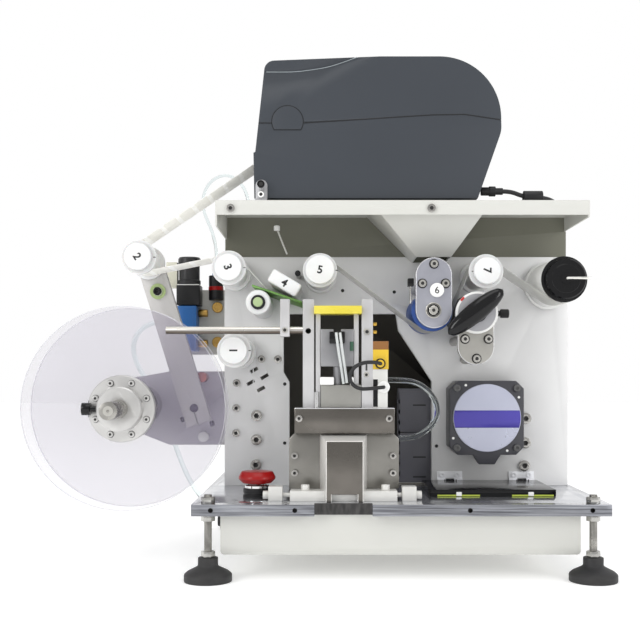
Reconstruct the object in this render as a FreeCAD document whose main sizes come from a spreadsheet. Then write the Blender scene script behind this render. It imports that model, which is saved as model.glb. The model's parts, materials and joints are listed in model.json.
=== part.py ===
import FreeCAD, Part
import math
import os
import re
import Sketcher
from FreeCAD import Placement, Rotation, Vector

# Label printing and folding machine on a bench frame.
# Lengths are in millimetres. Places are given as x (to the right), forward (in front of the
# main panel's front face) and z (above the base plate's top). The finished sub-parts are
# then moved so that the origin is at the middle of the machine's footprint, on the floor.
os.makedirs("parts", exist_ok=True)
doc = FreeCAD.newDocument("label_folding_machine")

SIZES = {
    # frame
    "base_left": -138.5, "base_right": 293.5, "base_front": 175, "base_back": 205,
    "base_thick": 12, "notch_left": -12, "notch_right": 48, "notch_depth": 12,
    "edge_hole_radius": 2.5, "edge_hole_depth": 8, "edge_hole_inset": 20,
    "box_left": -110, "box_right": 265, "box_drop": 54, "box_front": 160, "box_back": 190,
    "box_wall": 2, "box_corner": 12, "gland_forward": 60, "gland_radius": 9,
    "foot_inset": 16, "foot_front_inset": 13, "foot_height": 81, "stud_radius": 4,
    "stud_top": 9, "pad_radius": 25, "pad_height": 25, "pad_floor": 8, "nut_width": 15,
    "nut_height": 6.5,
    # main panel
    "panel_left": -121.8, "panel_right": 290, "panel_top": 274, "panel_thick": 12,
    "gap_left": -44, "gap_right": 127, "gap_top": 206, "gap_shoulder": 84,
    "gap_slope_top": 186, "gap_slope_bottom": 125, "gap_step": 124, "gap_step_in": 7,
    "screw_head": 6.5, "screw_head_high": 4, "small_screw_head": 4.5,
    # cabinet and shelf
    "cabinet_left": -88, "cabinet_right": 283, "cabinet_depth": 168, "sheet": 2,
    "shelf_left": -121, "shelf_right": 288, "shelf_top": 323.6, "shelf_front": 110,
    "lip_height": 16, "side_drop_left": 28, "side_drop_right": 18.6, "funnel_left": 49, "funnel_right": 181, "funnel_foot_left": 102.5,
    "funnel_foot_right": 142.5, "funnel_bottom": 267, "funnel_foot_front": 62,
    # printer
    "printer_left": -79, "printer_right": 193.5, "printer_front": 98, "printer_back": 102,
    "printer_stand": 4.2, "printer_tall": 156.2, "printer_wall": 4, "nose_step": 50,
    "nose_lean": 12, "nose_round": 11, "top_fall": 5, "crown_reach": 139, "tail_round": 68,
    "tail_undercut": 26, "tail_round_low": 30, "seam_height": 82.7, "seam_rise": 9.5,
    "seam_right_rise": 3.5, "seam_gap": 0.6, "hinge_barrel": 2.5, "printer_foot": 9,
    "button_reach": 36.6, "button_rise": 1.7, "button_radius": 17, "button_drop": 8.9,
    "button_depth": 7, "button_gap": 0.4, "exit_rise": 39.2, "exit_high": 8,
    "roll_reach": 151, "roll_rise": 60.2, "roll_radius": 42, "roll_core": 12.7,
    "roll_width": 104, "clamp_inset": 1.5, "clamp_wide": 13, "clamp_high": 24,
    # unwinder
    "reel_x": -223, "reel_z": 96, "reel_shaft": 10, "disc_radius": 112.6, "disc_thick": 4,
    "rear_disc": 61, "reel_gap": 35, "ring_radius": 36.7, "ring_thick": 8, "boss_radius": 24.6,
    "boss_thick": 14, "hub_screw_circle": 30, "shaft_front": 178, "shaft_end": 9.5,
    "hub_radius": 30, "arm_plate_thick": 10, "arm_round": 35, "arm_high": 137, "arm_low": 48,
    "arm_root": -94, "arm_wide_x": -190, "reel_bearing": 24,
    # dancer
    "dancer_x": -154.8, "dancer_z": 93.8, "dancer_back": 15, "dancer_thick": 12,
    "dancer_wide": 30, "dancer_pivot": 8, "dancer_length": 177, "dancer_lean": 17.1,
    "stop_x": -148, "stop_z": 130, "stop_radius": 6, "stop_front": 13,
    # rollers
    "roller_radius": 15, "collar_radius": 19, "collar_wide": 6, "roller_front": 104,
    "roller_rear": 14, "axle_radius": 4, "run_gap": 0.05, "free_gap": 0.3, "cap_thick": 8,
    "spacer_radius": 8, "one_x": -101.6, "one_z": 159.8, "three_x": -107.5, "three_z": 251.4,
    "five_x": -6.6, "five_z": 248.5, "seven_x": 177, "seven_z": 247.4,
    "guide_x": -75.2, "guide_z": 213.3, "guide_radius": 13.9, "guide_core": 8,
    "block_x": -45.7, "block_z": 234.5, "block_long": 36, "block_high": 15, "block_turn": -31,
    "peel_x": -82, "peel_z": 232, "peel_end_x": -27, "peel_end_z": 213.5, "peel_thick": 2,
    # nip unit
    "drive_x": 118, "drive_z": 204, "drive_radius": 22.7, "pinch_x": 165, "pinch_z": 201,
    "pinch_radius": 23, "plate_radius": 20, "plate_span": 38, "plate_thick": 8,
    "plate_front": 100, "six_x": 118.8, "six_z": 223.3, "unit_b_x": 165, "unit_b_z": 183,
    "post_radius": 5, "shaft_radius": 6, "dial_radius": 23, "dial_thick": 8, "dial_inner": 11,
    "lever_long": 76, "lever_high": 21.5, "lever_turn": 39, "lever_thick": 12,
    "pulley_radius": 14, "pulley_thick": 12, "pulley_back": 16, "belt_thick": 2.5, "belt_wide": 9,
    # take-up
    "take_x": 264.5, "take_z": 239, "drum_radius": 25.4, "drum_front": 70, "flange_radius": 28,
    "drum_lip": 20, "take_cap": 22.5, "clip_wire": 1.4, "clip_reach": 26,
    # motor and flap
    "motor_x": 187, "motor_z": 82.8, "motor_size": 86, "motor_front": 38, "motor_chamfer": 9,
    "motor_disc": 39, "motor_hole_pitch": 69.6, "motor_shaft": 6, "flap_left": 114,
    "flap_right": 251, "flap_front": 109, "flap_back": 9, "flap_thick": 7.6,
    "hinge_wide": 30, "hinge_one": 148, "hinge_two": 234, "hinge_top": 17, "pin_radius": 2,
    "knuckle_radius": 4, "leaf_thick": 2,
    # emergency stop
    "stop_button_x": -75, "stop_button_forward": 112, "mushroom_radius": 20,
    "stop_travel": 4, "stop_base_radius": 12, "stop_base_high": 14,
    # folding unit
    "bar_left": -38, "bar_right": 75, "bar_high": 11, "bar_front": 150, "bar_back": 120,
    "fold_plate_left": -39.7, "fold_plate_right": 78.3, "fold_plate_top": 70.7,
    "fold_plate_thick": 8, "bracket_left": -33.5, "bracket_right": 73, "bracket_top": 98,
    "bracket_front": 140, "cover_left": 0, "cover_right": 39, "cover_front": 158,
    "cover_high": 64, "cover_back_left": -6.6, "cover_back_right": 44, "cover_back_high": 70.4,
    "cover_wall": 1.5, "post_wide": 12, "post_left": -24.8, "post_right": 38.2,
    "post_top": 214, "post_front": 130, "rail_wide": 5, "rail_left": -11, "rail_right": 30,
    "head_low": 142, "head_high": 182, "head_rod": 4, "cylinder_top": 122,
    "fold_pad_low": 198, "fold_pad_thick": 8.7, "rod_radius": 4, "rod_z": 180.8,
    "rod_left": -172, "holder_left": -49, "holder_wide": 10, "holder_low": 174,
    "adjuster_size": 15, "adjuster_left": -61, "adjuster_right": 80.6,
    "sensor_left": 50, "sensor_wide": 17, "sensor_low": 139, "sensor_high": 169,
    "hose_post_x": 61.3, "hose_post_z": 120, "duct_left": 88.6, "duct_right": 129,
    "duct_top": 116, "duct_depth": 38,
    # air equipment behind, on the left
    "air_forward": 50, "air_left": -186, "valve_low": 162, "valve_high": 218,
    "regulator_radius": 14, "hose_radius": 3, "tube_radius": 2,
}

sheet = doc.addObject("Spreadsheet::Sheet", "Sizes")
for row, (alias, number) in enumerate(SIZES.items(), start=1):
    sheet.set("A%d" % row, str(number))
    sheet.setAlias("A%d" % row, alias)
doc.recompute()

# The machine's footprint runs from the reel's left edge to the right-hand foot pads, and
# from the front foot pads to the rear ones.
FRAME_X = "-((reel_x - disc_radius) + (base_right - foot_inset + pad_radius)) / 2"
FRAME_Y = "-((base_back - foot_front_inset) - (base_front - foot_front_inset)) / 2"
FRAME_Z = "foot_height"

places = {}
NODES = []
SCREWS = []


def bound(text):
    """Write a size expression with the sheet's name before each alias."""
    return re.sub(r"[a-z][a-z_]+\b", lambda m: "Sizes." + m.group(0) if m.group(0) in SIZES
                  else m.group(0), str(text))


def value(text):
    """The present number that a size expression gives."""
    return float(sheet.evalExpression(bound(text)))


def place(item, x, y, z):
    places[item.Name] = (x, y, z)
    for letter, text in zip("xyz", (x, y, z)):
        item.setExpression("Placement.Base." + letter, bound(text))
    return item


def block(name, x_range, forward_range, z_range):
    """A square-edged block between two places on each axis."""
    item = doc.addObject("Part::Box", name)
    for prop, (low, high) in zip(("Length", "Width", "Height"), (x_range, forward_range, z_range)):
        item.setExpression(prop, bound("(%s) - (%s)" % (high, low)))
    return place(item, x_range[0], "-(%s)" % forward_range[1], z_range[0])


def bar(name, x, z, long, high, forward_range, turn):
    """A block centred on x and z and turned in the plane of the panel."""
    item = doc.addObject("Part::Box", name)
    item.Placement = Placement(Vector(), Rotation(Vector(0, -1, 0), 1))
    item.setExpression("Placement.Rotation.Angle", bound(turn))
    item.setExpression("Length", bound(long))
    item.setExpression("Height", bound(high))
    item.setExpression("Width", bound("(%s) - (%s)" % (forward_range[1], forward_range[0])))
    shift_x = "(%s) - (%s) / 2 * cos(%s) + (%s) / 2 * sin(%s)" % (x, long, turn, high, turn)
    shift_z = "(%s) - (%s) / 2 * sin(%s) - (%s) / 2 * cos(%s)" % (z, long, turn, high, turn)
    return place(item, shift_x, "-(%s)" % forward_range[1], shift_z)


def rod(name, radius, start, length, way="forward", sides=0):
    """A round or hexagonal rod from a start point, towards the front, up or to the right."""
    item = doc.addObject("Part::Prism" if sides else "Part::Cylinder", name)
    if sides:
        item.Polygon = sides
        item.setExpression("Circumradius", bound(radius))
    else:
        item.setExpression("Radius", bound(radius))
    item.setExpression("Height", bound(length))
    turns = {"forward": Rotation(Vector(1, 0, 0), 90), "up": Rotation(),
             "right": Rotation(Vector(0, 1, 0), 90), "left": Rotation(Vector(0, 1, 0), -90)}
    item.Placement = Placement(Vector(), turns[way])
    x, forward, z = start
    return place(item, x, "-(%s)" % forward, z)


def sketch_on(body, role, name):
    sketch = body.newObject("Sketcher::SketchObject", name)
    plane = [item for item in body.Origin.OriginFeatures if item.Role == role][0]
    sketch.AttachmentSupport = [(plane, "")]
    sketch.MapMode = "FlatFace"
    return sketch


def draw(sketch, corners, circles=()):
    """A closed outline through corners, and round holes, all tied to the sheet."""
    points = [Vector(value(u), value(v), 0) for u, v in corners]
    count = len(points)
    for index in range(count):
        line = Part.LineSegment(points[index], points[(index + 1) % count])
        sketch.addGeometry(line, False)
    for index in range(count):
        sketch.addConstraint(Sketcher.Constraint("Coincident", index, 2, (index + 1) % count, 1))
    for index, (u, v) in enumerate(corners):
        tie_point(sketch, index, 1, u, v)
    for u, v, radius in circles:
        centre = Vector(value(u), value(v), 0)
        hole = sketch.addGeometry(Part.Circle(centre, Vector(0, 0, 1), value(radius)), False)
        tie_point(sketch, hole, 3, u, v)
        tie = sketch.addConstraint(Sketcher.Constraint("Radius", hole, value(radius)))
        sketch.setExpression("Constraints[%d]" % tie, bound(radius))


def tie_point(sketch, index, corner, u, v):
    for kind, text in (("DistanceX", u), ("DistanceY", v)):
        tie = sketch.addConstraint(Sketcher.Constraint(kind, -1, 1, index, corner, value(text)))
        sketch.setExpression("Constraints[%d]" % tie, bound(text))


def plate(name, corners, span, circles=(), flat="panel"):
    """A padded outline: flat "panel" is drawn in x and z, flat "base" in x and -forward,
    flat "side" in -forward and z."""
    body = doc.addObject("PartDesign::Body", name)
    role = {"panel": "XZ_Plane", "base": "XY_Plane", "side": "YZ_Plane"}[flat]
    sketch = sketch_on(body, role, name + "_outline")
    draw(sketch, corners, circles)
    pad = body.newObject("PartDesign::Pad", name + "_pad")
    pad.Profile = sketch
    pad.setExpression("Length", bound("(%s) - (%s)" % (span[1], span[0])))
    shift = {"panel": ("0", "-(%s)" % span[0], "0"), "base": ("0", "0", span[0]),
             "side": (span[0], "0", "0")}[flat]
    return place(body, *shift)


def rounded(body, corners, radius):
    """Round the edges of a plate that stand on the given corners of its outline."""
    doc.recompute()
    pad = body.Tip
    names = []
    for index, edge in enumerate(pad.Shape.Edges, start=1):
        first, last = edge.Vertexes[0].Point, edge.Vertexes[-1].Point
        if abs(first.x - last.x) + abs(first.z - last.z) > 0.001:
            continue
        for u, v in corners:
            if abs(first.x - value(u)) < 0.01 and abs(first.z - value(v)) < 0.01:
                names.append("Edge%d" % index)
    fillet = body.newObject("PartDesign::Fillet", "%s_round_%d" % (body.Name, len(body.Group)))
    fillet.Base = (pad, names)
    fillet.setExpression("Radius", bound(radius))
    body.Tip = fillet
    return body


def turned(name, profile, start, way="forward"):
    """A turned piece: the profile is in radius and length, turned about its own axis."""
    body = doc.addObject("PartDesign::Body", name)
    sketch = sketch_on(body, "XZ_Plane", name + "_profile")
    draw(sketch, profile)
    spin = body.newObject("PartDesign::Revolution", name + "_turn")
    spin.Profile = sketch
    spin.ReferenceAxis = (sketch, ["V_Axis"])
    spin.Angle = 360
    turns = {"forward": Rotation(Vector(1, 0, 0), 90), "up": Rotation(),
             "right": Rotation(Vector(0, 1, 0), 90), "left": Rotation(Vector(0, 1, 0), -90)}
    body.Placement = Placement(Vector(), turns[way])
    x, forward, z = start
    return place(body, x, "-(%s)" % forward, z)


def fuse(name, pieces):
    item = doc.addObject("Part::MultiFuse", name)
    item.Shapes = pieces
    item.Refine = True
    return item


def cut(name, base, tools):
    tool = tools[0] if len(tools) == 1 else fuse(name + "_tools", tools)
    item = doc.addObject("Part::Cut", name)
    item.Base = base
    item.Tool = tool
    return item


def common(name, first, second):
    item = doc.addObject("Part::Common", name)
    item.Base = first
    item.Tool = second
    return item


def solid(name, shape):
    item = doc.addObject("Part::Feature", name)
    item.Shape = shape
    return item


def node(label, pieces):
    """Gather the solids of a sub-part and set it on the machine's own origin."""
    if not isinstance(pieces, list):
        pieces = [pieces]
    if len(pieces) == 1:
        item = pieces[0]
        base = places.get(item.Name, ("0", "0", "0"))
    else:
        item = doc.addObject("Part::Compound", label + "_set")
        item.Links = pieces
        base = ("0", "0", "0")
    shifted = ["(%s) + (%s)" % pair for pair in zip(base, (FRAME_X, FRAME_Y, FRAME_Z))]
    place(item, *shifted)
    item.Label = label
    NODES.append(item)
    return item


def outline_box(left, right, low, high):
    return [(left, low), (right, low), (right, high), (left, high)]


# Base plate with its front notch, the holes for the foot studs and the tapped holes in its
# front edge.
feet = [("base_left + foot_inset", "base_front - foot_front_inset"),
        ("base_right - foot_inset", "base_front - foot_front_inset"),
        ("base_left + foot_inset", "-(base_back - foot_front_inset)"),
        ("base_right - foot_inset", "-(base_back - foot_front_inset)")]


def make_base_plate():
    front = "-base_front"
    notch = "-(base_front - notch_depth)"
    corners = [("base_left", front), ("notch_left", front), ("notch_left", notch),
               ("notch_right", notch), ("notch_right", front), ("base_right", front),
               ("base_right", "base_back"), ("base_left", "base_back")]
    holes = [(x, "-(%s)" % forward, "stud_radius + run_gap") for x, forward in feet]
    body = plate("base_sheet", corners, ("-base_thick", "0"), holes, flat="base")
    edge_holes = []
    for index, x in enumerate(("base_left + edge_hole_inset", "notch_left - edge_hole_inset",
                               "notch_right + 5 * edge_hole_inset",
                               "base_right - edge_hole_inset")):
        start = (x, "base_front - edge_hole_depth", "-base_thick / 2")
        edge_holes.append(rod("edge_hole_%d" % index, "edge_hole_radius", start,
                              "edge_hole_depth + 1"))
    node("base_plate", cut("base_plate_cut", body, edge_holes))


gland_places = ("gland_forward", "-air_forward")


def make_lower_box():
    low = "-box_drop"
    top = "-base_thick"
    outer = rounded(plate("box_outer", outline_box("box_left", "box_right", low, top),
                          ("-box_back", "box_front")),
                    [("box_left", low), ("box_right", low)], "box_corner")
    inside = [("box_left + box_wall", "-box_drop + box_wall"),
              ("box_right - box_wall", "-box_drop + box_wall")]
    room = rounded(plate("box_room", [inside[0], inside[1], ("box_right - box_wall", "1 - base_thick"),
                                      ("box_left + box_wall", "1 - base_thick")],
                         ("-box_back + box_wall", "box_front - box_wall")),
                   inside, "box_corner - box_wall")
    level = "-(box_drop + base_thick) / 2"
    holes = [rod("gland_hole_%d" % index, "gland_radius * 0.68", ("box_left - 1", forward, level),
                 "box_wall + 2", "right") for index, forward in enumerate(gland_places)]
    box = cut("lower_box_cut", outer, [room] + holes)
    bore = "hose_radius + 0.3"
    profile = [(bore, "0"), ("gland_radius * 0.68", "0"), ("gland_radius * 0.68", "5"),
               ("gland_radius", "5"), ("gland_radius", "10"), ("gland_radius * 0.8", "13"),
               ("gland_radius * 0.7", "18"), (bore, "18")]
    glands = [turned("gland_%d" % index, profile, ("box_left + 5", forward, level), "left")
              for index, forward in enumerate(gland_places)]
    node("lower_box", [box] + glands)


def make_feet():
    studs = []
    pads = []
    for index, (x, forward) in enumerate(feet):
        shank = rod("stud_%d" % index, "stud_radius", (x, forward, "-foot_height + pad_floor"),
                    "foot_height - pad_floor + stud_top", "up")
        nuts = [rod("jam_nut_%d_%d" % (index, turn), "nut_width / 2", (x, forward, z),
                    "nut_height", "up", 6)
                for turn, z in enumerate(("-base_thick - nut_height",
                                          "-foot_height + pad_height", "0"))]
        studs.append(fuse("stud_set_%d" % index, [shank] + nuts))
        profile = [("0", "0"), ("pad_radius", "0"), ("pad_radius", "pad_height * 0.3"),
                   ("pad_radius * 0.86", "pad_height * 0.42"),
                   ("pad_radius * 0.5", "pad_height * 0.6"),
                   ("pad_radius * 0.42", "pad_height * 0.66"),
                   ("pad_radius * 0.42", "pad_height"), ("stud_radius", "pad_height"),
                   ("stud_radius", "pad_floor"), ("0", "pad_floor")]
        pads.append(turned("pad_%d" % index, profile, (x, forward, "-foot_height"), "up"))
    node("levelling_studs", studs)
    node("foot_pads", pads)


# Main panel: one plate with the big stepped opening, bores for the rollers' axles and the
# shafts, and four turned slots at the left.
def make_main_panel():
    corners = [("panel_left", "0"), ("gap_left", "0"), ("gap_left", "gap_step"),
               ("gap_left - gap_step_in", "gap_step + 12"), ("gap_left - gap_step_in", "gap_top"),
               ("gap_shoulder", "gap_top"), ("gap_shoulder + 3", "gap_slope_top"),
               ("gap_right", "gap_slope_bottom"), ("gap_right", "0"), ("panel_right", "0"),
               ("panel_right", "panel_top"), ("panel_left", "panel_top")]
    holes = [("drive_x", "drive_z", "shaft_radius + run_gap"),
             ("take_x", "take_z", "shaft_radius + run_gap"),
             ("motor_x", "motor_z", "motor_shaft + 6")]
    body = plate("panel_plate", corners, ("-panel_thick", "0"), holes)
    slots = [bar("panel_slot_%d" % index, x, z, "10", "4", ("-panel_thick - 1", "1"), "30")
             for index, (x, z) in enumerate(((-86.4, 138.6), (-73.9, 130.7), (-90.4, 123.5),
                                             (-78, 115.8)))]
    node("main_panel", cut("main_panel_cut", body, slots))
    heads = []
    large = [(-83.2, 84), (-83.5, 55.1), (-84, 24.8), (239.2, 80.6), (238.7, 51.2), (237.8, 23.9)]
    small = [(-107.2, 123), (-107.6, 93), (-108, 63), (-77.3, 151.6), (-57.8, 151.6)]
    for index, (x, z) in enumerate(large):
        heads.append(socket_screw("panel_screw_%d" % index, (x, "0", z), "screw_head",
                                  "screw_head_high"))
    for index, (x, z) in enumerate(small):
        heads.append(socket_screw("arm_screw_%d" % index, (x, "0", z), "small_screw_head",
                                  "screw_head_high * 0.7"))
    SCREWS.extend(heads)


def socket_screw(name, start, radius, high, way="forward"):
    """A cap screw's head with its hexagon socket."""
    head = rod(name + "_head", radius, start, high, way)
    x, forward, z = start
    depth = "(%s) * 0.5" % high
    inside = {"forward": (x, "(%s) + %s" % (forward, depth), z),
              "up": (x, forward, "(%s) + %s" % (z, depth)),
              "right": ("(%s) + %s" % (x, depth), forward, z)}[way]
    socket = rod(name + "_socket", "(%s) * 0.5" % radius, inside, high, way, 6)
    return cut(name, head, [socket])


def make_cabinet():
    back = "-panel_thick - cabinet_depth"
    top = "shelf_top - sheet"
    outer = block("cabinet_outer", ("cabinet_left", "cabinet_right"), (back, "-panel_thick"),
                  ("0", top))
    room = block("cabinet_room", ("cabinet_left + sheet", "cabinet_right - sheet"),
                 (back + " - 1", "1 - panel_thick"), ("sheet", top + " - sheet"))
    cabinet = cut("cabinet_cut", outer, [room])
    cover = block("cover_sheet", ("cabinet_left", "cabinet_right"), (back + " - sheet", back),
                  ("0", top))
    vents = [block("vent_%d" % index, ("panel_right - 150", "panel_right - 50"),
                   (back + " - sheet - 1", back + " + 1"),
                   ("200 + 10 * %d" % index, "204 + 10 * %d" % index)) for index in range(6)]
    node("rear_cabinet", [cabinet, cut("rear_cover_cut", cover, vents)])
    heads = []
    for index, (x, z) in enumerate((("cabinet_left + 12", "12"), ("cabinet_right - 12", "12"),
                                    ("cabinet_left + 12", top + " - 12"),
                                    ("cabinet_right - 12", top + " - 12"))):
        heads.append(rod("cover_screw_%d" % index, "small_screw_head",
                         (x, back + " - sheet - 2.5", z), "2.5"))
    SCREWS.extend(heads)


# Printer shelf: a folded sheet with a front lip, two low side walls, and a back wall down to
# the panel's top.
def make_shelf():
    back = "-panel_thick - cabinet_depth"
    top_sheet = block("shelf_sheet", ("shelf_left", "shelf_right"), (back, "shelf_front"),
                      ("shelf_top - sheet", "shelf_top"))
    lip = block("shelf_lip", ("shelf_left", "shelf_right"), ("shelf_front - sheet", "shelf_front"),
                ("shelf_top - lip_height", "shelf_top"))
    sides = [block("shelf_side_left", ("shelf_left", "shelf_left + sheet"), ("0", "shelf_front"),
                   ("shelf_top - side_drop_left", "shelf_top")),
             block("shelf_side_right", ("shelf_right - sheet", "shelf_right"), ("0", "shelf_front"),
                   ("shelf_top - side_drop_right", "shelf_top"))]
    wall = block("shelf_wall", ("shelf_left", "shelf_right"), ("-sheet", "0"),
                 ("panel_top", "shelf_top"))
    shelf = fuse("shelf_fused", [top_sheet, lip, wall] + sides)
    funnel = funnel_shell("funnel_outer", "0", "shelf_top - sheet", "funnel_bottom")
    room = funnel_shell("funnel_inner", "sheet", "shelf_top - sheet + 0.5", "funnel_bottom - 0.5")
    node("printer_shelf", [shelf, cut("funnel_cut", funnel, [room])])
    heads = [socket_screw("lip_screw_%d" % index, (x, "shelf_front", "shelf_top - 9"),
                          "small_screw_head", "2.5")
             for index, x in enumerate(("shelf_left + 17", "(funnel_left + funnel_right) / 2"))]
    heads += [rod("sheet_screw_%d" % index, "small_screw_head", (x, "20", "shelf_top"), "2", "up")
              for index, x in enumerate(("shelf_left + 12", "shelf_right - 12"))]
    SCREWS.extend(heads)


def funnel_shell(name, inset, high, low):
    """A four-sided hopper form that narrows downwards."""
    ends = []
    for part, (left, right, front, level) in enumerate((
            ("funnel_left", "funnel_right", "shelf_front - sheet", high),
            ("funnel_foot_left", "funnel_foot_right", "funnel_foot_front", low))):
        sketch = doc.addObject("Sketcher::SketchObject", "%s_%d" % (name, part))
        draw(sketch, [("%s + %s" % (left, inset), "-(%s - %s)" % (front, inset)),
                      ("%s - %s" % (right, inset), "-(%s - %s)" % (front, inset)),
                      ("%s - %s" % (right, inset), "-%s" % inset),
                      ("%s + %s" % (left, inset), "-%s" % inset)])
        place(sketch, "0", "0", level)
        ends.append(sketch)
    loft = doc.addObject("Part::Loft", name)
    loft.Sections = ends
    loft.Solid = True
    loft.Ruled = True
    return loft


# Printer: a moulded case that parts at a seam. The case holds the roll of blank labels; the
# lid turns up on two hinge barrels at its right-hand end.
LOW = "shelf_top + printer_stand"
HIGH = LOW + " + printer_tall"
SEAM = LOW + " + seam_height"
BUTTON_X = "printer_left + button_reach"
BUTTON_Z = SEAM + " + button_rise"


def printer_outline(name, inset, span):
    corners = [("printer_left + %s" % inset, "%s + %s" % (LOW, inset)),
               ("printer_left - 1 + %s" % inset, LOW + " + nose_step"),
               ("printer_left + 1 + %s" % inset, LOW + " + nose_step + 1"),
               ("printer_left + nose_lean + %s" % inset, "%s - top_fall - %s" % (HIGH, inset)),
               ("printer_left + crown_reach", "%s - %s" % (HIGH, inset)),
               ("printer_right - 2 - %s" % inset, "%s - %s" % (HIGH, inset)),
               ("printer_right - %s" % inset, SEAM + " + seam_right_rise - 12"),
               ("printer_right - tail_undercut - %s" % inset, "%s + %s" % (LOW, inset))]
    body = plate(name, corners, span)
    rounded(body, [corners[5]], "tail_round - %s" % inset)
    rounded(body, [corners[3]], "nose_round - %s" % inset)
    return rounded(body, [corners[6]], "tail_round_low - %s" % inset)


def seam_mask(name, side, gap):
    """Everything on one side of the seam, which dips at its right-hand end."""
    far = HIGH + " + 20" if side == "above" else LOW + " - 20"
    shift = gap if side == "above" else "-(%s)" % gap
    corners = [("printer_left - 20", far), ("printer_left - 20", "%s + %s" % (SEAM, shift)),
               ("printer_left + 54", "%s + %s" % (SEAM, shift)),
               ("printer_left + 197", "%s + seam_rise - 0.5 + %s" % (SEAM, shift)),
               ("printer_left + 232", "%s + seam_rise + %s" % (SEAM, shift)),
               ("printer_right + 20", "%s + seam_right_rise - 3 + %s" % (SEAM, shift)),
               ("printer_right + 20", far)]
    return plate(name, corners, ("-printer_back - 10", "printer_front + 10"))


def button_shape(name, gap, span):
    """A disc with its lower part cut off, set into the front face."""
    disc = rod(name + "_disc", "button_radius + %s" % gap, (BUTTON_X, span[0], BUTTON_Z),
               "(%s) - (%s)" % (span[1], span[0]))
    half = "button_radius * 2"
    flat = block(name + "_flat", ("%s - %s" % (BUTTON_X, half), "%s + %s" % (BUTTON_X, half)),
                 ("(%s) - 1" % span[0], "(%s) + 1" % span[1]),
                 ("%s - %s" % (BUTTON_Z, half), "%s - button_drop - %s" % (BUTTON_Z, gap)))
    return cut(name, disc, [flat])


def hinge_barrels(name, radius):
    """Two round barrels on the lid's axis, at the right-hand end of the seam."""
    spans = (("-printer_back * 0.7", "printer_back * 0.35"),
             ("printer_front * 0.15", "printer_front * 0.4"))
    return [rod("%s_%d" % (name, index), radius,
                ("printer_right + 0.2", start, SEAM + " + seam_right_rise + 0.2"), length)
            for index, (start, length) in enumerate(spans)]


def make_printer():
    span = ("-printer_back", "printer_front")
    inner = ("-printer_back + printer_wall", "printer_front - printer_wall")
    front = ("printer_front - button_depth", "printer_front + 1")
    exit_low = LOW + " + exit_rise - exit_high / 2"
    exit_slot = block("exit_slot", ("printer_left - 5", "printer_left + 21"), ("20", "92"),
                      (exit_low, exit_low + " + exit_high"))
    room = block("media_room", ("printer_left + 20", "printer_right - 40"), inner,
                 (LOW + " + printer_wall * 2", SEAM + " + seam_rise + 8"))
    case = common("printer_lower", printer_outline("printer_case", "0", span),
                  seam_mask("below_seam", "below", "seam_gap / 2"))
    hollow = cut("printer_base_cut", case, [
        room, exit_slot,
        button_shape("base_recess_front", "button_gap", front)])
    lid = common("printer_upper", printer_outline("printer_top", "0", span),
                 seam_mask("above_seam", "above", "seam_gap / 2"))
    lid_room = common("lid_room", printer_outline("lid_inside", "printer_wall", inner),
                      block("lid_keep", ("printer_left - 9", "printer_right - 30"),
                            ("-printer_back - 5", "printer_front + 5"),
                            (SEAM + " - 9", HIGH + " + 9")))
    node("printer_lid", cut("printer_lid_cut", lid, [
        lid_room, button_shape("lid_recess_front", "button_gap", front)]
        + hinge_barrels("barrel_room", "hinge_barrel + free_gap")))
    node("latch_button", button_shape("latch", "0", (
        "printer_front - button_depth + 3.5", "printer_front + 0.8")))
    pads = []
    for index, (x, forward) in enumerate((("printer_left + 25", "printer_front - 20"),
                                          ("printer_right - 50", "printer_front - 20"),
                                          ("printer_left + 25", "20 - printer_back"),
                                          ("printer_right - 50", "20 - printer_back"))):
        pads.append(rod("printer_pad_%d" % index, "printer_foot", (x, forward, "shelf_top"),
                        "printer_stand", "up"))
    roll_place = ("printer_left + roll_reach", LOW + " + roll_rise")
    spindle = rod("roll_spindle", "roll_core - 1", (roll_place[0], inner[0], roll_place[1]),
                  "printer_back + printer_front - 2 * printer_wall")
    node("printer_base", fuse("printer_base_fused", [hollow, spindle] + pads
                              + hinge_barrels("barrel", "hinge_barrel")))
    roll = turned("label_roll_turned", [("roll_core - 1 + run_gap", "0"), ("roll_radius", "0"),
                                        ("roll_radius", "roll_width"),
                                        ("roll_core - 1 + run_gap", "roll_width")],
                  (roll_place[0], "-roll_width / 2", roll_place[1]))
    node("label_roll", roll)
    make_clamp()


def make_clamp():
    """The tab that holds the printer down, with a round top and two screws."""
    left = "printer_left + clamp_inset"
    middle = left + " + clamp_wide / 2"
    upright = block("clamp_upright", (left, left + " + clamp_wide"),
                    ("printer_front", "printer_front + sheet"),
                    ("shelf_top", "shelf_top + clamp_high - clamp_wide / 2"))
    top = rod("clamp_top", "clamp_wide / 2",
              (middle, "printer_front", "shelf_top + clamp_high - clamp_wide / 2"), "sheet")
    foot = block("clamp_foot", (left, left + " + clamp_wide"),
                 ("printer_front", "shelf_front - sheet"), ("shelf_top", "shelf_top + sheet"))
    screws = [socket_screw("clamp_screw_%d" % index, (middle, "printer_front + sheet", z), "3.2",
                           "2.5")
              for index, z in enumerate(("shelf_top + 7", "shelf_top + clamp_high - 7"))]
    SCREWS.append(fuse("clamp", [upright, top, foot] + screws))


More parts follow.
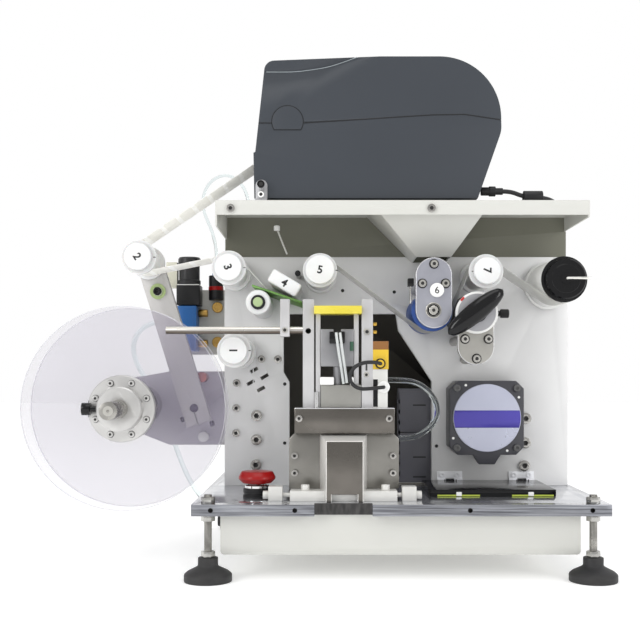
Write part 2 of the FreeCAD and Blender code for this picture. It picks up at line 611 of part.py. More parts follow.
# Unwinder: an arm plate behind the panel carries the reel's bearing; the shaft turns in it
# with the rear disc, and the front disc slides along the shaft.
def make_unwinder():
    back = "-panel_thick - arm_plate_thick"
    body = plate("arm_sheet", [("arm_root", "arm_low"), ("arm_root", "arm_high"),
                               ("arm_wide_x", "arm_high"), ("reel_x", "reel_z + arm_round"),
                               ("reel_x", "reel_z - arm_round"), ("arm_wide_x", "arm_low")],
                 (back, "-panel_thick"))
    end = rod("arm_end", "arm_round", ("reel_x", back, "reel_z"), "arm_plate_thick")
    housing = rod("reel_housing", "reel_bearing", ("reel_x", "-panel_thick", "reel_z"), "40")
    bore = rod("reel_bore", "reel_shaft + run_gap", ("reel_x", back + " - 1", "reel_z"), "80")
    pivot = rod("dancer_bore", "dancer_pivot + run_gap", ("dancer_x", back + " - 1", "dancer_z"),
                "arm_plate_thick + 2")
    node("arm_plate", cut("arm_plate_cut", fuse("arm_fused", [body, end, housing]), [bore, pivot]))
    SCREWS.extend([
        rod("stop_pin", "stop_radius", ("stop_x", "-panel_thick", "stop_z"),
            "panel_thick + stop_front"),
        rod("plug_button", "stop_radius", ("stop_x", "-panel_thick", "stop_z - 72"), "8")])
    shoulder = "rear_disc + 2 * disc_thick + reel_gap + ring_thick + boss_thick + 2"
    shaft = rod("reel_rod", "reel_shaft", ("reel_x", back + " - 6", "reel_z"),
                shoulder + " + panel_thick + arm_plate_thick + 6")
    shaft_end = rod("reel_rod_end", "shaft_end", ("reel_x", shoulder, "reel_z"),
                    "shaft_front - (%s)" % shoulder)
    collar = rod("reel_collar", "reel_shaft + 6", ("reel_x", back + " - 6", "reel_z"),
                 "6 - free_gap")
    hub = rod("rear_hub", "hub_radius", ("reel_x", "rear_disc - 12", "reel_z"), "12")
    tip = block("shaft_flat", ("reel_x - 20", "reel_x + 20"), ("shaft_front - 1.5", "shaft_front + 1"),
                ("reel_z + reel_shaft - 1.2", "reel_z + 20"))
    node("reel_shaft", cut("reel_shaft_cut", fuse("reel_shaft_fused",
                                                    [shaft, shaft_end, collar, hub]), [tip]))
    disc_hole = "reel_shaft + run_gap"
    node("rear_disc", turned("rear_disc_turned", [("reel_shaft", "0"), ("disc_radius", "0"),
                                                  ("disc_radius", "disc_thick"),
                                                  ("reel_shaft", "disc_thick")],
                             ("reel_x", "rear_disc", "reel_z")))
    node("front_disc", turned("front_disc_turned", [(disc_hole, "0"), ("disc_radius", "0"),
                                                    ("disc_radius", "disc_thick"),
                                                    (disc_hole, "disc_thick")],
                              ("reel_x", "rear_disc + disc_thick + reel_gap", "reel_z")))
    seat = "rear_disc + 2 * disc_thick + reel_gap"
    hub_body = turned("front_hub_turned", [
        (disc_hole, "0"), ("ring_radius", "0"), ("ring_radius", "ring_thick - 1"),
        ("ring_radius - 1", "ring_thick"), ("boss_radius", "ring_thick"),
        ("boss_radius", "ring_thick + boss_thick - 1.5"),
        ("boss_radius - 1.5", "ring_thick + boss_thick"),
        (disc_hole, "ring_thick + boss_thick")], ("reel_x", seat, "reel_z"))
    heads = []
    for index in range(8):
        turn = "%g" % (22.5 + 45 * index)
        start = ("reel_x + hub_screw_circle * cos(%s)" % turn, seat + " + ring_thick",
                 "reel_z + hub_screw_circle * sin(%s)" % turn)
        heads.append(socket_screw("hub_screw_%d" % index, start, "3.2", "2.5"))
    knob = [("0", "0"), ("6.8", "0"), ("6.8", "9"), ("3", "9"), ("3", "16"), ("0", "16")]
    screw = turned("thumb_screw_turned", knob, ("reel_x - boss_radius - 16",
                                                seat + " + ring_thick + boss_thick / 2",
                                                "reel_z"), "right")
    node("front_hub", [hub_body, screw] + heads)


def make_dancer():
    back = "dancer_back"
    front = "dancer_back + dancer_thick"
    top_x = "dancer_x - dancer_length * sin(dancer_lean)"
    top_z = "dancer_z + dancer_length * cos(dancer_lean)"
    middle_x = "dancer_x - dancer_length / 2 * sin(dancer_lean)"
    middle_z = "dancer_z + dancer_length / 2 * cos(dancer_lean)"
    arm = bar("dancer_bar", middle_x, middle_z, "dancer_wide", "dancer_length", (back, front),
              "dancer_lean")
    ends = [rod("dancer_low_end", "dancer_wide / 2", ("dancer_x", back, "dancer_z"),
                "dancer_thick"),
            rod("dancer_high_end", "dancer_wide / 2", (top_x, back, top_z), "dancer_thick")]
    slit = bar("dancer_slit", "dancer_x + 12 * sin(dancer_lean)",
               "dancer_z - 12 * cos(dancer_lean)", "1.5", "20", (back + " - 1", front + " + 1"),
               "dancer_lean")
    arm_body = cut("dancer_arm_cut", fuse("dancer_fused", [arm] + ends), [slit])
    pivot = rod("dancer_pivot_rod", "dancer_pivot",
                ("dancer_x", "-panel_thick - arm_plate_thick - 4", "dancer_z"),
                "panel_thick + arm_plate_thick + 4 + " + front)
    axle = rod("dancer_axle", "axle_radius", (top_x, back, top_z),
               "roller_front - cap_thick - 1 - dancer_back")
    spacer = rod("dancer_spacer", "spacer_radius", (top_x, front, top_z), "3")
    whole = fuse("dancer_whole", [arm_body, cut("dancer_pivot_cut", pivot, [slit_copy(back, front)]),
                                  axle, spacer])
    bolt_x = "dancer_x - 143 * sin(dancer_lean)"
    bolt_z = "dancer_z + 143 * cos(dancer_lean)"
    washer = rod("dancer_washer", "9", (bolt_x, front, bolt_z), "1.6")
    head = socket_screw("dancer_bolt_head", (bolt_x, front + " + 1.6", bolt_z), "5", "5")
    node("dancer_arm", [whole, washer, head])
    make_roller("roller_two", top_x, top_z, front + " + 3 + free_gap", "roller_radius")


def slit_copy(back, front):
    return bar("pivot_slit", "dancer_x + 12 * sin(dancer_lean)",
               "dancer_z - 12 * cos(dancer_lean)", "1.5", "14", (back + " - 1", front + " + 1"),
               "dancer_lean")


def make_roller(label, x, z, rear, radius):
    """A white roller with a collar at each end, a closed front and a blind bore."""
    reach = "(roller_front - (%s))" % rear
    bore = "axle_radius + run_gap"
    profile = [(bore, "0"), ("collar_radius", "0"), ("collar_radius", "collar_wide"),
               (radius, "collar_wide"), (radius, reach + " - cap_thick - collar_wide"),
               ("collar_radius", reach + " - cap_thick - collar_wide"),
               ("collar_radius", reach + " - cap_thick"), (radius, reach + " - cap_thick"),
               (radius, reach + " - 1"), (radius + " - 1", reach), ("0", reach),
               ("0", reach + " - cap_thick"), (bore, reach + " - cap_thick")]
    node(label, turned(label + "_turned", profile, (x, rear, z)))


def make_rollers():
    axles = []
    for name, radius in (("one", "roller_radius"), ("three", "roller_radius"),
                         ("five", "roller_radius + 1"), ("seven", "roller_radius")):
        x, z = name + "_x", name + "_z"
        make_roller("roller_" + name, x, z, "roller_rear", radius)
        shank = rod("axle_" + name, "axle_radius", (x, "0", z), "roller_front - cap_thick - 1")
        spacer = rod("spacer_" + name, "spacer_radius", (x, "0", z), "roller_rear - free_gap")
        axles.append(fuse("axle_set_" + name, [shank, spacer]))
    shank = rod("axle_guide", "guide_core", ("guide_x", "0", "guide_z"), "96")
    tail = rod("spacer_guide", "guide_core + 3", ("guide_x", "0", "guide_z"),
               "roller_rear - free_gap")
    axles.append(fuse("axle_set_guide", [shank, tail]))
    node("guide_roller", turned("guide_roller_turned", [
        ("guide_core + run_gap", "0"), ("guide_radius", "0"), ("guide_radius", "80"),
        ("guide_core + run_gap", "80")], ("guide_x", "roller_rear", "guide_z")))
    block_bar = bar("block_bar", "block_x", "block_z", "block_long", "block_high", ("0", "100"),
                    "block_turn")
    screw = rod("block_screw", "3", ("block_x + 13", "0", "block_z + 16"), "40")
    node("guide_block", block_bar)
    node("roller_axles", axles + [screw])
    long = "sqrt((peel_end_x - peel_x) ^ 2 + (peel_z - peel_end_z) ^ 2)"
    fall = "-atan((peel_z - peel_end_z) / (peel_end_x - peel_x))"
    node("peel_plate", bar("peel_bar", "(peel_x + peel_end_x) / 2", "(peel_z + peel_end_z) / 2",
                           long, "peel_thick", ("0", "94"), fall))


# Nip unit: a driven roller and a pinch roller between the panel and two front plates that
# stand on posts. A dial and a lever set the pinch roller.
def stadium(name, x, z, span):
    body = block(name + "_middle", (x + " - plate_radius", x + " + plate_radius"), span,
                 (z + " - plate_span / 2", z + " + plate_span / 2"))
    ends = [rod("%s_end_%d" % (name, index), "plate_radius", (x, span[0], end),
                "(%s) - (%s)" % (span[1], span[0]))
            for index, end in enumerate((z + " - plate_span / 2", z + " + plate_span / 2"))]
    return fuse(name, [body] + ends)


def make_nip():
    span = ("plate_front - plate_thick", "plate_front")
    bore = rod("drive_bore", "shaft_radius + run_gap", ("drive_x", span[0] + " - 1", "drive_z"),
               "plate_thick + 2")
    plates = [cut("drive_plate_cut", stadium("drive_plate", "six_x", "six_z", span), [bore])]
    pinch_bore = rod("pinch_bore", "shaft_radius + run_gap",
                     ("pinch_x", span[0] + " - 1", "pinch_z"), "plate_thick + 2")
    plates.append(cut("pinch_plate_cut", stadium("pinch_plate", "unit_b_x", "unit_b_z", span),
                      [pinch_bore]))
    posts = []
    heads = []
    places_of_posts = [("six_x", "six_z + 31.7"), ("six_x - 12.8", "six_z + 10.2"),
                       ("six_x + 12.7", "six_z + 10.2"), ("unit_b_x - 12.2", "unit_b_z - 10.6"),
                       ("unit_b_x + 13.6", "unit_b_z - 10.6"), ("unit_b_x + 0.6", "unit_b_z - 32.2")]
    for index, (x, z) in enumerate(places_of_posts):
        posts.append(rod("nip_post_%d" % index, "post_radius", (x, "0", z),
                         "plate_front - plate_thick"))
        heads.append(socket_screw("nip_screw_%d" % index, (x, "plate_front", z), "4.2", "3"))
    SCREWS.extend(heads)
    body = rod("drive_rubber", "drive_radius", ("drive_x", "8", "drive_z"), "80")
    shaft = rod("drive_rod", "shaft_radius", ("drive_x", "-panel_thick - pulley_back", "drive_z"),
                "panel_thick + pulley_back + plate_front - 1")
    node("drive_roller", fuse("drive_roller_fused", [
        body, shaft, pulley("drive_pulley_turned", "drive_x", "drive_z")]))
    pinch = rod("pinch_rubber", "pinch_radius", ("pinch_x", "8", "pinch_z"), "80")
    pinch_rod = rod("pinch_rod", "shaft_radius", ("pinch_x", "free_gap", "pinch_z"),
                    "plate_front - 1 - free_gap")
    node("pinch_roller", fuse("pinch_roller_fused", [pinch, pinch_rod]))
    dial = turned("nip_dial_turned", [
        ("dial_inner", "0"), ("dial_radius", "0"), ("dial_radius", "dial_thick - 1"),
        ("dial_radius - 1", "dial_thick"), ("dial_inner", "dial_thick")],
        ("pinch_x", "plate_front", "pinch_z"))
    hub = rod("lever_hub", "dial_inner - free_gap", ("pinch_x", "plate_front + free_gap", "pinch_z"),
              "dial_thick + 6")
    grip = lever_grip()
    node("nip_lever", fuse("nip_lever_fused", [hub, grip]))
    button = rod("six_disc", "7.8", ("six_x + 3", "plate_front", "six_z + 2.7"), "4")
    node("nip_plates", plates + posts + [dial, button])


def lever_grip():
    """The handle is an oval bar with full ends, turned about the dial's centre."""
    low = "plate_front + dial_thick + 4"
    grip = bar("grip_bar", "pinch_x - 3", "pinch_z", "lever_long - lever_high", "lever_high",
               (low, low + " + lever_thick"), "lever_turn")
    ends = []
    for index, way in enumerate(("-", "+")):
        half = "(lever_long - lever_high) / 2"
        x = "pinch_x - 3 %s %s * cos(lever_turn)" % (way, half)
        z = "pinch_z %s %s * sin(lever_turn)" % (way, half)
        ends.append(rod("grip_end_%d" % index, "lever_high / 2", (x, low, z), "lever_thick"))
    return fuse("grip", [grip] + ends)


def pulley(name, x, z):
    rim = "pulley_radius + 2.5"
    profile = [("motor_shaft", "0"), (rim, "0"), (rim, "1.2"), ("pulley_radius", "1.2"),
               ("pulley_radius", "pulley_thick - 1.2"), (rim, "pulley_thick - 1.2"),
               (rim, "pulley_thick"), ("motor_shaft", "pulley_thick")]
    return turned(name, profile, (x, "-panel_thick - pulley_back", z))


def belt_wire(path):
    """Lines and arcs that run tangent round circles, each (x, z, radius, turn), with turn 1
    where the circle lies to the left of the way along the path and -1 to the right."""
    tangents = []
    for (x1, z1, r1, t1), (x2, z2, r2, t2) in zip(path, path[1:]):
        reach = math.hypot(x2 - x1, z2 - z1)
        heading = math.atan2(z2 - z1, x2 - x1) - math.asin((t2 * r2 - t1 * r1) / reach)
        normal = (-math.sin(heading), math.cos(heading))
        tangents.append(((x1 - t1 * r1 * normal[0], z1 - t1 * r1 * normal[1]),
                         (x2 - t2 * r2 * normal[0], z2 - t2 * r2 * normal[1])))
    edges = []
    for index, (start, end) in enumerate(tangents):
        edges.append(Part.LineSegment(Vector(start[0], 0, start[1]),
                                      Vector(end[0], 0, end[1])).toShape())
        if index + 1 < len(tangents):
            x, z, radius, turn = path[index + 1]
            after = tangents[index + 1][0]
            if radius:
                edges.append(arc_round(x, z, radius, turn, end, after))
    return Part.Wire(edges)


def arc_round(x, z, radius, turn, start, end):
    first = math.atan2(start[1] - z, start[0] - x)
    last = math.atan2(end[1] - z, end[0] - x)
    sweep = (turn * (last - first)) % (2 * math.pi)
    middle = first + turn * sweep / 2
    return Part.Arc(Vector(start[0], 0, start[1]),
                    Vector(x + radius * math.cos(middle), 0, z + radius * math.sin(middle)),
                    Vector(end[0], 0, end[1])).toShape()


def ribbon(name, wire, thick, rear, front):
    """A thin band of constant width that follows a wire in the plane of the panel."""
    face = wire.makeOffset2D(thick / 2, fill=True, openResult=not wire.isClosed())
    band = face.extrude(Vector(0, -(front - rear), 0))
    item = solid(name, band)
    return place(item, "0", "%g" % -rear, "0")


def web_circle(name, radius, turn):
    return (value(name + "_x"), value(name + "_z"), value(radius) + WEB_OFFSET, turn)


def above_peel(along, lift, radius, slope):
    """A bend of the web just above the peel plate, at a distance along the plate in x."""
    x = value("peel_x") + along - (lift + radius) * math.sin(slope)
    z = value("peel_z") + along * math.tan(slope) + (lift + radius) * math.cos(slope)
    return (x, z, radius, 1)


WEB_THICK = 0.4
WEB_OFFSET = WEB_THICK / 2 + 0.3
WEB_REAR = 37.5
WEB_FRONT = 88.5


def make_web():
    top = (value("dancer_x - dancer_length * sin(dancer_lean)"),
           value("dancer_z + dancer_length * cos(dancer_lean)"),
           value("roller_radius") + WEB_OFFSET, 1)
    exit_point = (value("printer_left - 2"), value(LOW + " + exit_rise"), 0, 1)
    three = web_circle("three", "roller_radius", -1)
    slope = math.atan2(value("peel_end_z - peel_z"), value("peel_end_x - peel_x"))
    lift = value("peel_thick") / 2 + WEB_OFFSET
    peel_start = above_peel(16, lift, 2, slope)
    peel_end = above_peel(value("peel_end_x - peel_x") + 5, lift, 3, slope)
    five = web_circle("five", "roller_radius + 1", -1)
    drive = web_circle("drive", "drive_radius", 1)
    pinch = web_circle("pinch", "pinch_radius", -1)
    seven = web_circle("seven", "roller_radius", -1)
    take = (value("take_x"), value("take_z"), value("drum_radius") + WEB_OFFSET, 1)
    finish = (value("take_x") + 60, value("take_z") - 8, 0, 1)
    loop = belt_wire([exit_point, top, three, peel_start])
    loop_edges = loop.Edges
    dancer_part = Part.Wire(loop_edges[:3])
    node("label_web_loop", ribbon("web_loop", dancer_part, WEB_THICK, WEB_REAR, WEB_FRONT))
    rest = belt_wire([top, three, peel_start, peel_end, five, drive, pinch, seven, take, finish])
    node("label_web", ribbon("web_rest", Part.Wire(rest.Edges[1:-1]), WEB_THICK, WEB_REAR,
                             WEB_FRONT))


def make_take_up():
    flange = rod("take_flange", "flange_radius", ("take_x", "6", "take_z"), "4")
    drum = rod("take_drum", "drum_radius", ("take_x", "10", "take_z"),
               "drum_front + drum_lip - 10")
    shaft = rod("take_rod", "shaft_radius", ("take_x", "-panel_thick - 10", "take_z"),
                "panel_thick + 10 + 8")
    slot = rod("clip_hole", "clip_wire + run_gap", ("take_x", "drum_front - 44", "take_z"), "99")
    drum_body = cut("take_drum_cut", fuse("take_fused", [flange, drum, shaft]), [slot])
    cap = turned("take_cap_turned", [
        ("clip_wire + run_gap", "0"), ("take_cap", "0"), ("take_cap", "8"),
        ("take_cap - 3", "10"), ("clip_wire + run_gap", "10")],
        ("take_x", "drum_front + drum_lip", "take_z"))
    node("take_up_drum", [drum_body, cap])
    straight = rod("clip_straight", "clip_wire", ("take_x", "drum_front - 40", "take_z"), "76")
    across = rod("clip_across", "clip_wire", ("take_x", "drum_front + 36", "take_z"),
                 "clip_reach", "right")
    node("take_up_clip", fuse("clip", [straight, across]))


def make_motor():
    half = "motor_size / 2"
    chamfer = "motor_chamfer"
    x, z = "motor_x", "motor_z"
    corners = []
    for x_way, z_way, first in (("-", "-", 1), ("+", "-", 0), ("+", "+", 1), ("-", "+", 0)):
        long = ("%s %s (%s - %s)" % (x, x_way, half, chamfer), "%s %s %s" % (z, z_way, half))
        high = ("%s %s %s" % (x, x_way, half), "%s %s (%s - %s)" % (z, z_way, half, chamfer))
        corners += [high, long] if first else [long, high]
    body = plate("motor_case", corners, ("0", "motor_front"))
    tab = plate("motor_tab", [(x + " - 9", z + " - 54"), (x + " + 9", z + " - 54"),
                              (x + " + 16", z + " - 43"), (x + " - 16", z + " - 43")],
                ("motor_front - 14", "motor_front"))
    node("step_motor", [fuse("motor_fused", [body, tab]),
                        rod("motor_label", "motor_disc", (x, "motor_front", z), "1.2")])
    heads = []
    for index, (x_way, z_way) in enumerate((("-", "-"), ("+", "-"), ("-", "+"), ("+", "+"))):
        start = ("%s %s motor_hole_pitch / 2" % (x, x_way), "motor_front",
                 "%s %s motor_hole_pitch / 2" % (z, z_way))
        heads.append(socket_screw("motor_screw_%d" % index, start, "4", "3"))
    SCREWS.extend(heads)
    shaft = rod("motor_rod", "motor_shaft", (x, "-panel_thick - pulley_back", z),
                "panel_thick + pulley_back - free_gap")
    node("motor_shaft", fuse("motor_shaft_fused", [shaft, pulley("motor_pulley_turned", x, z)]))
    radius = value("pulley_radius + free_gap + belt_thick / 2")
    motor = (value(x), value(z), radius, 1)
    drive = (value("drive_x"), value("drive_z"), radius, 1)
    run = belt_wire([drive, motor, drive, motor])
    loop = Part.Wire(run.Edges[1:])
    rear = value("-panel_thick - pulley_back + (pulley_thick - belt_wide) / 2")
    outer = Part.Face(loop.makeOffset2D(value("belt_thick") / 2))
    inner = Part.Face(loop.makeOffset2D(-value("belt_thick") / 2))
    band = outer.cut(inner).extrude(Vector(0, -value("belt_wide"), 0))
    node("drive_belt", place(solid("belt", band), "0", "%g" % -rear, "0"))


# Black flap on the base, on two hinges whose standing leaves are screwed to the panel.
def make_flap():
    axis_z = "knuckle_radius + 0.5"
    axis_forward = "knuckle_radius + 0.5"
    fixed = []
    moving = []
    pins = []
    for index, centre in enumerate(("hinge_one", "hinge_two")):
        left = "%s - hinge_wide / 2" % centre
        right = "%s + hinge_wide / 2" % centre
        third = "hinge_wide / 3"
        leaf = block("standing_leaf_%d" % index, (left, right), ("0", "leaf_thick"),
                     (axis_z + " + knuckle_radius + 0.5", "hinge_top"))
        knuckles = [rod("fixed_knuckle_%d_%d" % (index, end), "knuckle_radius",
                        (x, axis_forward, axis_z), third + " - free_gap", "right")
                    for end, x in enumerate((left, right + " - %s + free_gap" % third))]
        webs = [block("leaf_web_%d_%d" % (index, end), (x, "%s + %s - free_gap" % (x, third)),
                      ("0", axis_forward), (axis_z, axis_z + " + knuckle_radius + 1"))
                for end, x in enumerate((left, right + " - %s + free_gap" % third))]
        screws = [socket_screw("leaf_screw_%d_%d" % (index, end), (x, "leaf_thick", "hinge_top - 4"),
                               "3.2", "2")
                  for end, x in enumerate((left + " + 6", right + " - 6"))]
        hole = rod("leaf_hole_%d" % index, "pin_radius", (left + " - 1", axis_forward, axis_z),
                   "hinge_wide + 2", "right")
        fixed.append(cut("hinge_fixed_%d" % index, fuse("hinge_leaf_%d" % index,
                                                        [leaf] + knuckles + webs + screws), [hole]))
        pins.append(rod("hinge_pin_%d" % index, "pin_radius", (left, axis_forward, axis_z),
                        "hinge_wide", "right"))
        knuckle = rod("moving_knuckle_%d" % index, "knuckle_radius",
                      ("%s + %s" % (left, third), axis_forward, axis_z), third, "right")
        strap = block("strap_%d" % index, ("%s + %s" % (left, third), "%s - %s" % (right, third)),
                      (axis_forward, "flap_back + 2"),
                      (axis_z + " - knuckle_radius", axis_z))
        hole_two = rod("strap_hole_%d" % index, "pin_radius + run_gap",
                       (left, axis_forward, axis_z), "hinge_wide", "right")
        moving.append((cut("hinge_moving_%d" % index, fuse("hinge_strap_%d" % index,
                                                           [knuckle, strap]), [hole_two])))
    node("hinge_leaves", fixed + pins)
    board = block("flap_board", ("flap_left", "flap_right"), ("flap_back", "flap_front"),
                  ("free_gap", "flap_thick"))
    node("cover_flap", fuse("flap_fused", [board] + moving))


def make_stop_button():
    x, forward = "stop_button_x", "stop_button_forward"
    profile = [("6 + run_gap", "0"), ("stop_base_radius", "0"),
               ("stop_base_radius", "stop_base_high - 3"), ("stop_base_radius + 2", "stop_base_high - 3"),
               ("stop_base_radius + 2", "stop_base_high"), ("6 + run_gap", "stop_base_high")]
    node("stop_base", turned("stop_base_turned", profile, (x, forward, "0"), "up"))
    low = "stop_base_high + stop_travel + 1"
    profile = [("0", "2 + stop_travel"), ("6", "2 + stop_travel"), ("6", low), ("mushroom_radius - 3", low),
               ("mushroom_radius", low + " + 2"), ("mushroom_radius", low + " + 7"),
               ("mushroom_radius - 4", low + " + 10"), ("mushroom_radius - 11", low + " + 11.5"),
               ("0", low + " + 12")]
    node("stop_button", turned("stop_button_turned", profile, (x, forward, "0"), "up"))


# Folding unit on its own base bar.
def make_folding_unit():
    base = block("fold_base", ("bar_left", "bar_right"), ("bar_back", "bar_front"), ("0", "bar_high"))
    tall = [socket_screw("bar_screw_%d" % index, (x, "bar_front - 8", "bar_high"), "4.5", "6", "up")
            for index, x in enumerate(("bar_left + 16", "bar_right - 12"))]
    node("folding_base_bar", [base] + tall + make_adjusters())
    back = ("bar_back", "bar_back + fold_plate_thick")
    corners = [("fold_plate_left", "bar_high"), ("fold_plate_right", "bar_high"),
               ("fold_plate_right", "fold_plate_top - 6"), ("fold_plate_right - 6", "fold_plate_top"),
               ("fold_plate_left + 6", "fold_plate_top"), ("fold_plate_left", "fold_plate_top - 6")]
    fold_back = plate("fold_back", corners, back)
    bracket = block("fold_bracket", ("bracket_left", "bracket_right"), ("bar_back", "bracket_front"),
                    ("fold_plate_top", "bracket_top"))
    node("folding_plates", [fold_back, bracket])
    screws = []
    for index, (x, forward, z) in enumerate((
            ("bracket_left + 5", "bracket_front", "bracket_top - 11"),
            ("bracket_right - 6", "bracket_front", "bracket_top - 11"),
            ("fold_plate_left + 6", back[1], "46.5"), ("fold_plate_right - 6.5", back[1], "46.5"),
            ("fold_plate_left + 6", back[1], "28"), ("fold_plate_right - 6.5", back[1], "28"))):
        screws.append(socket_screw("fold_screw_%d" % index, (x, forward, z), "3.6", "2.6"))
    SCREWS.extend(screws)
    make_folding_cover(back[1])
    posts = []
    for index, left in enumerate(("post_left", "post_right")):
        posts.append(block("guide_post_%d" % index, (left, left + " + post_wide"),
                           ("post_front - post_wide", "post_front"), ("bracket_top", "post_top")))
    hole = rod("post_hole", "rod_radius", ("post_left - 1", "post_front - post_wide / 2", "rod_z"),
               "post_wide + 2", "right")
    rails = [block("guide_rail_%d" % index, (left, left + " + rail_wide"),
                   ("post_front - post_wide", "post_front - 2"), ("bracket_top", "fold_pad_low"))
             for index, left in enumerate(("rail_left", "rail_right"))]
    inside = ("rail_left + rail_wide + free_gap", "rail_right - free_gap")
    rod_x = "(rail_left + rail_right + rail_wide) / 2"
    mid = "post_front - post_wide / 2"
    cylinder = block("cylinder_block", (rod_x + " - 14", rod_x + " + 14"),
                     ("post_front - post_wide", "post_front"), ("bracket_top", "cylinder_top"))
    bore = rod("cylinder_bore", "head_rod + run_gap", (rod_x, mid, "bracket_top + 2"), "60", "up")
    node("air_cylinder", cut("air_cylinder_cut", cylinder, [bore]))
    head = block("head_block", inside, ("post_front - post_wide", "post_front"),
                 ("head_low", "head_high"))
    fork = block("head_fork", (rod_x + " - 4", rod_x + " + 4"),
                 ("post_front - post_wide - 1", "post_front + 1"),
                 ("head_high - 14", "head_high + 1"))
    ram = rod("head_ram", "head_rod", (rod_x, mid, "bracket_top + 6"),
              "head_low - bracket_top - 6 + 1", "up")
    node("press_head", fuse("press_head_fused", [cut("press_head_cut", head, [fork]), ram]))
    pad = block("press_pad", ("post_left + post_wide", "post_right"), ("post_front - 22", "post_front + 8"),
                ("fold_pad_low", "fold_pad_low + fold_pad_thick"))
    node("press_pad", pad)
    guide_rod = rod("guide_rod_bar", "rod_radius",
                    ("rod_left", "post_front - post_wide / 2", "rod_z"),
                    "post_left + post_wide - rod_left", "right")
    node("guide_posts", [cut("left_post", posts[0], [hole]), posts[1], guide_rod] + rails)
    holder = block("holder_block", ("holder_left", "holder_left + holder_wide"),
                   ("post_front - post_wide - 2", "post_front + 2"), ("holder_low", "post_top"))
    holder_hole = rod("holder_hole", "rod_radius + run_gap",
                      ("holder_left - 1", "post_front - post_wide / 2", "rod_z"),
                      "holder_wide + 2", "right")
    node("rod_guide", cut("rod_guide_cut", holder, [holder_hole]))
    make_sensor()


def make_folding_cover(back):
    """A folded stainless hood that is narrower and lower at its front."""
    shells = []
    for name, inset in (("cover_outer", "0"), ("cover_inner", "cover_wall")):
        ends = []
        extra = "0" if inset == "0" else "1"
        for part, (left, right, high, front) in enumerate((
                ("cover_back_left", "cover_back_right", "cover_back_high", back + " - %s" % extra),
                ("cover_left", "cover_right", "cover_high", "cover_front - %s" % inset))):
            sketch = doc.addObject("Sketcher::SketchObject", "%s_%d" % (name, part))
            draw(sketch, outline_box("%s + %s" % (left, inset), "%s - %s" % (right, inset),
                                     "-%s" % extra, "%s - %s" % (high, inset)))
            sketch.Placement = Placement(Vector(), Rotation(Vector(1, 0, 0), 90))
            place(sketch, "0", "-(%s)" % front, "0")
            ends.append(sketch)
        loft = doc.addObject("Part::Loft", name)
        loft.Sections = ends
        loft.Solid = True
        loft.Ruled = True
        shells.append(loft)
    bar_room = block("bar_room", ("bar_left - 9", "bar_right + 9"), ("bar_back - 1", "bar_front"),
                     ("-2", "bar_high"))
    mouth = block("cover_mouth", ("cover_left + 6", "cover_right - 6"),
                  ("cover_front - 12", "cover_front + 2"), ("-2", "8"))
    node("folding_cover", cut("folding_cover_cut", shells[0], [shells[1], bar_room, mouth]))


def make_adjusters():
    blocks = [block("adjuster_%d" % index, (left, left + " + adjuster_size"),
                    ("bar_front - adjuster_size - 5", "bar_front - 5"), ("0", "adjuster_size"))
              for index, left in enumerate(("adjuster_left", "adjuster_right"))]
    middle = "bar_front - 5 - adjuster_size / 2"
    level = "bar_high / 2"
    left_rod = rod("adjuster_rod_0", "2.5", ("adjuster_left + adjuster_size", middle, level),
                   "bar_left - adjuster_left - adjuster_size", "right")
    right_rod = rod("adjuster_rod_1", "2.5", ("bar_right", middle, level),
                    "adjuster_right - bar_right", "right")
    heads = [rod("adjuster_head_0", "4.5", ("adjuster_left - 6", middle, level), "6", "right"),
             rod("adjuster_head_1", "4.5", ("adjuster_right + adjuster_size", middle, level),
                 "6", "right")]
    return blocks + [left_rod, right_rod] + heads


def make_sensor():
    edge = "post_right + post_wide"
    body = block("sensor_body", (edge, "sensor_left + sensor_wide"), ("post_front - 12", "post_front"),
                 ("sensor_low", "sensor_high - 9"))
    window = block("sensor_window", (edge, "sensor_left + sensor_wide"), ("post_front - 12", "post_front"),
                   ("sensor_high - 9", "sensor_high"))
    tail = rod("sensor_tail", "4", ("sensor_left + 8", "post_front", "sensor_low + 6"), "6")
    stand = block("hose_stand", (edge, "sensor_left + 16"), ("post_front - 12", "post_front"),
                  ("bracket_top", "sensor_low"))
    head = rod("hose_head", "6.5", ("hose_post_x", "post_front", "hose_post_z"), "7")
    node("label_sensor", [body, tail, window, fuse("hose_post_fused", [stand, head])])


def make_duct():
    outer = block("duct_outer", ("duct_left", "duct_right"),
                  ("-panel_thick - duct_depth", "-panel_thick - 2"), ("sheet", "duct_top"))
    room = block("duct_room", ("duct_left + 2", "duct_right - 2"),
                 ("-panel_thick - duct_depth + 2", "-panel_thick - 4"), ("sheet - 1", "duct_top + 1"))
    slits = [block("duct_slit_%d" % index, ("duct_left - 1", "duct_right + 1"),
                   ("-panel_thick - duct_depth + 8", "0"),
                   ("10 + 12.5 * %d" % index, "15 + 12.5 * %d" % index)) for index in range(8)]
    node("cable_duct", cut("cable_duct_cut", outer, [room] + slits))


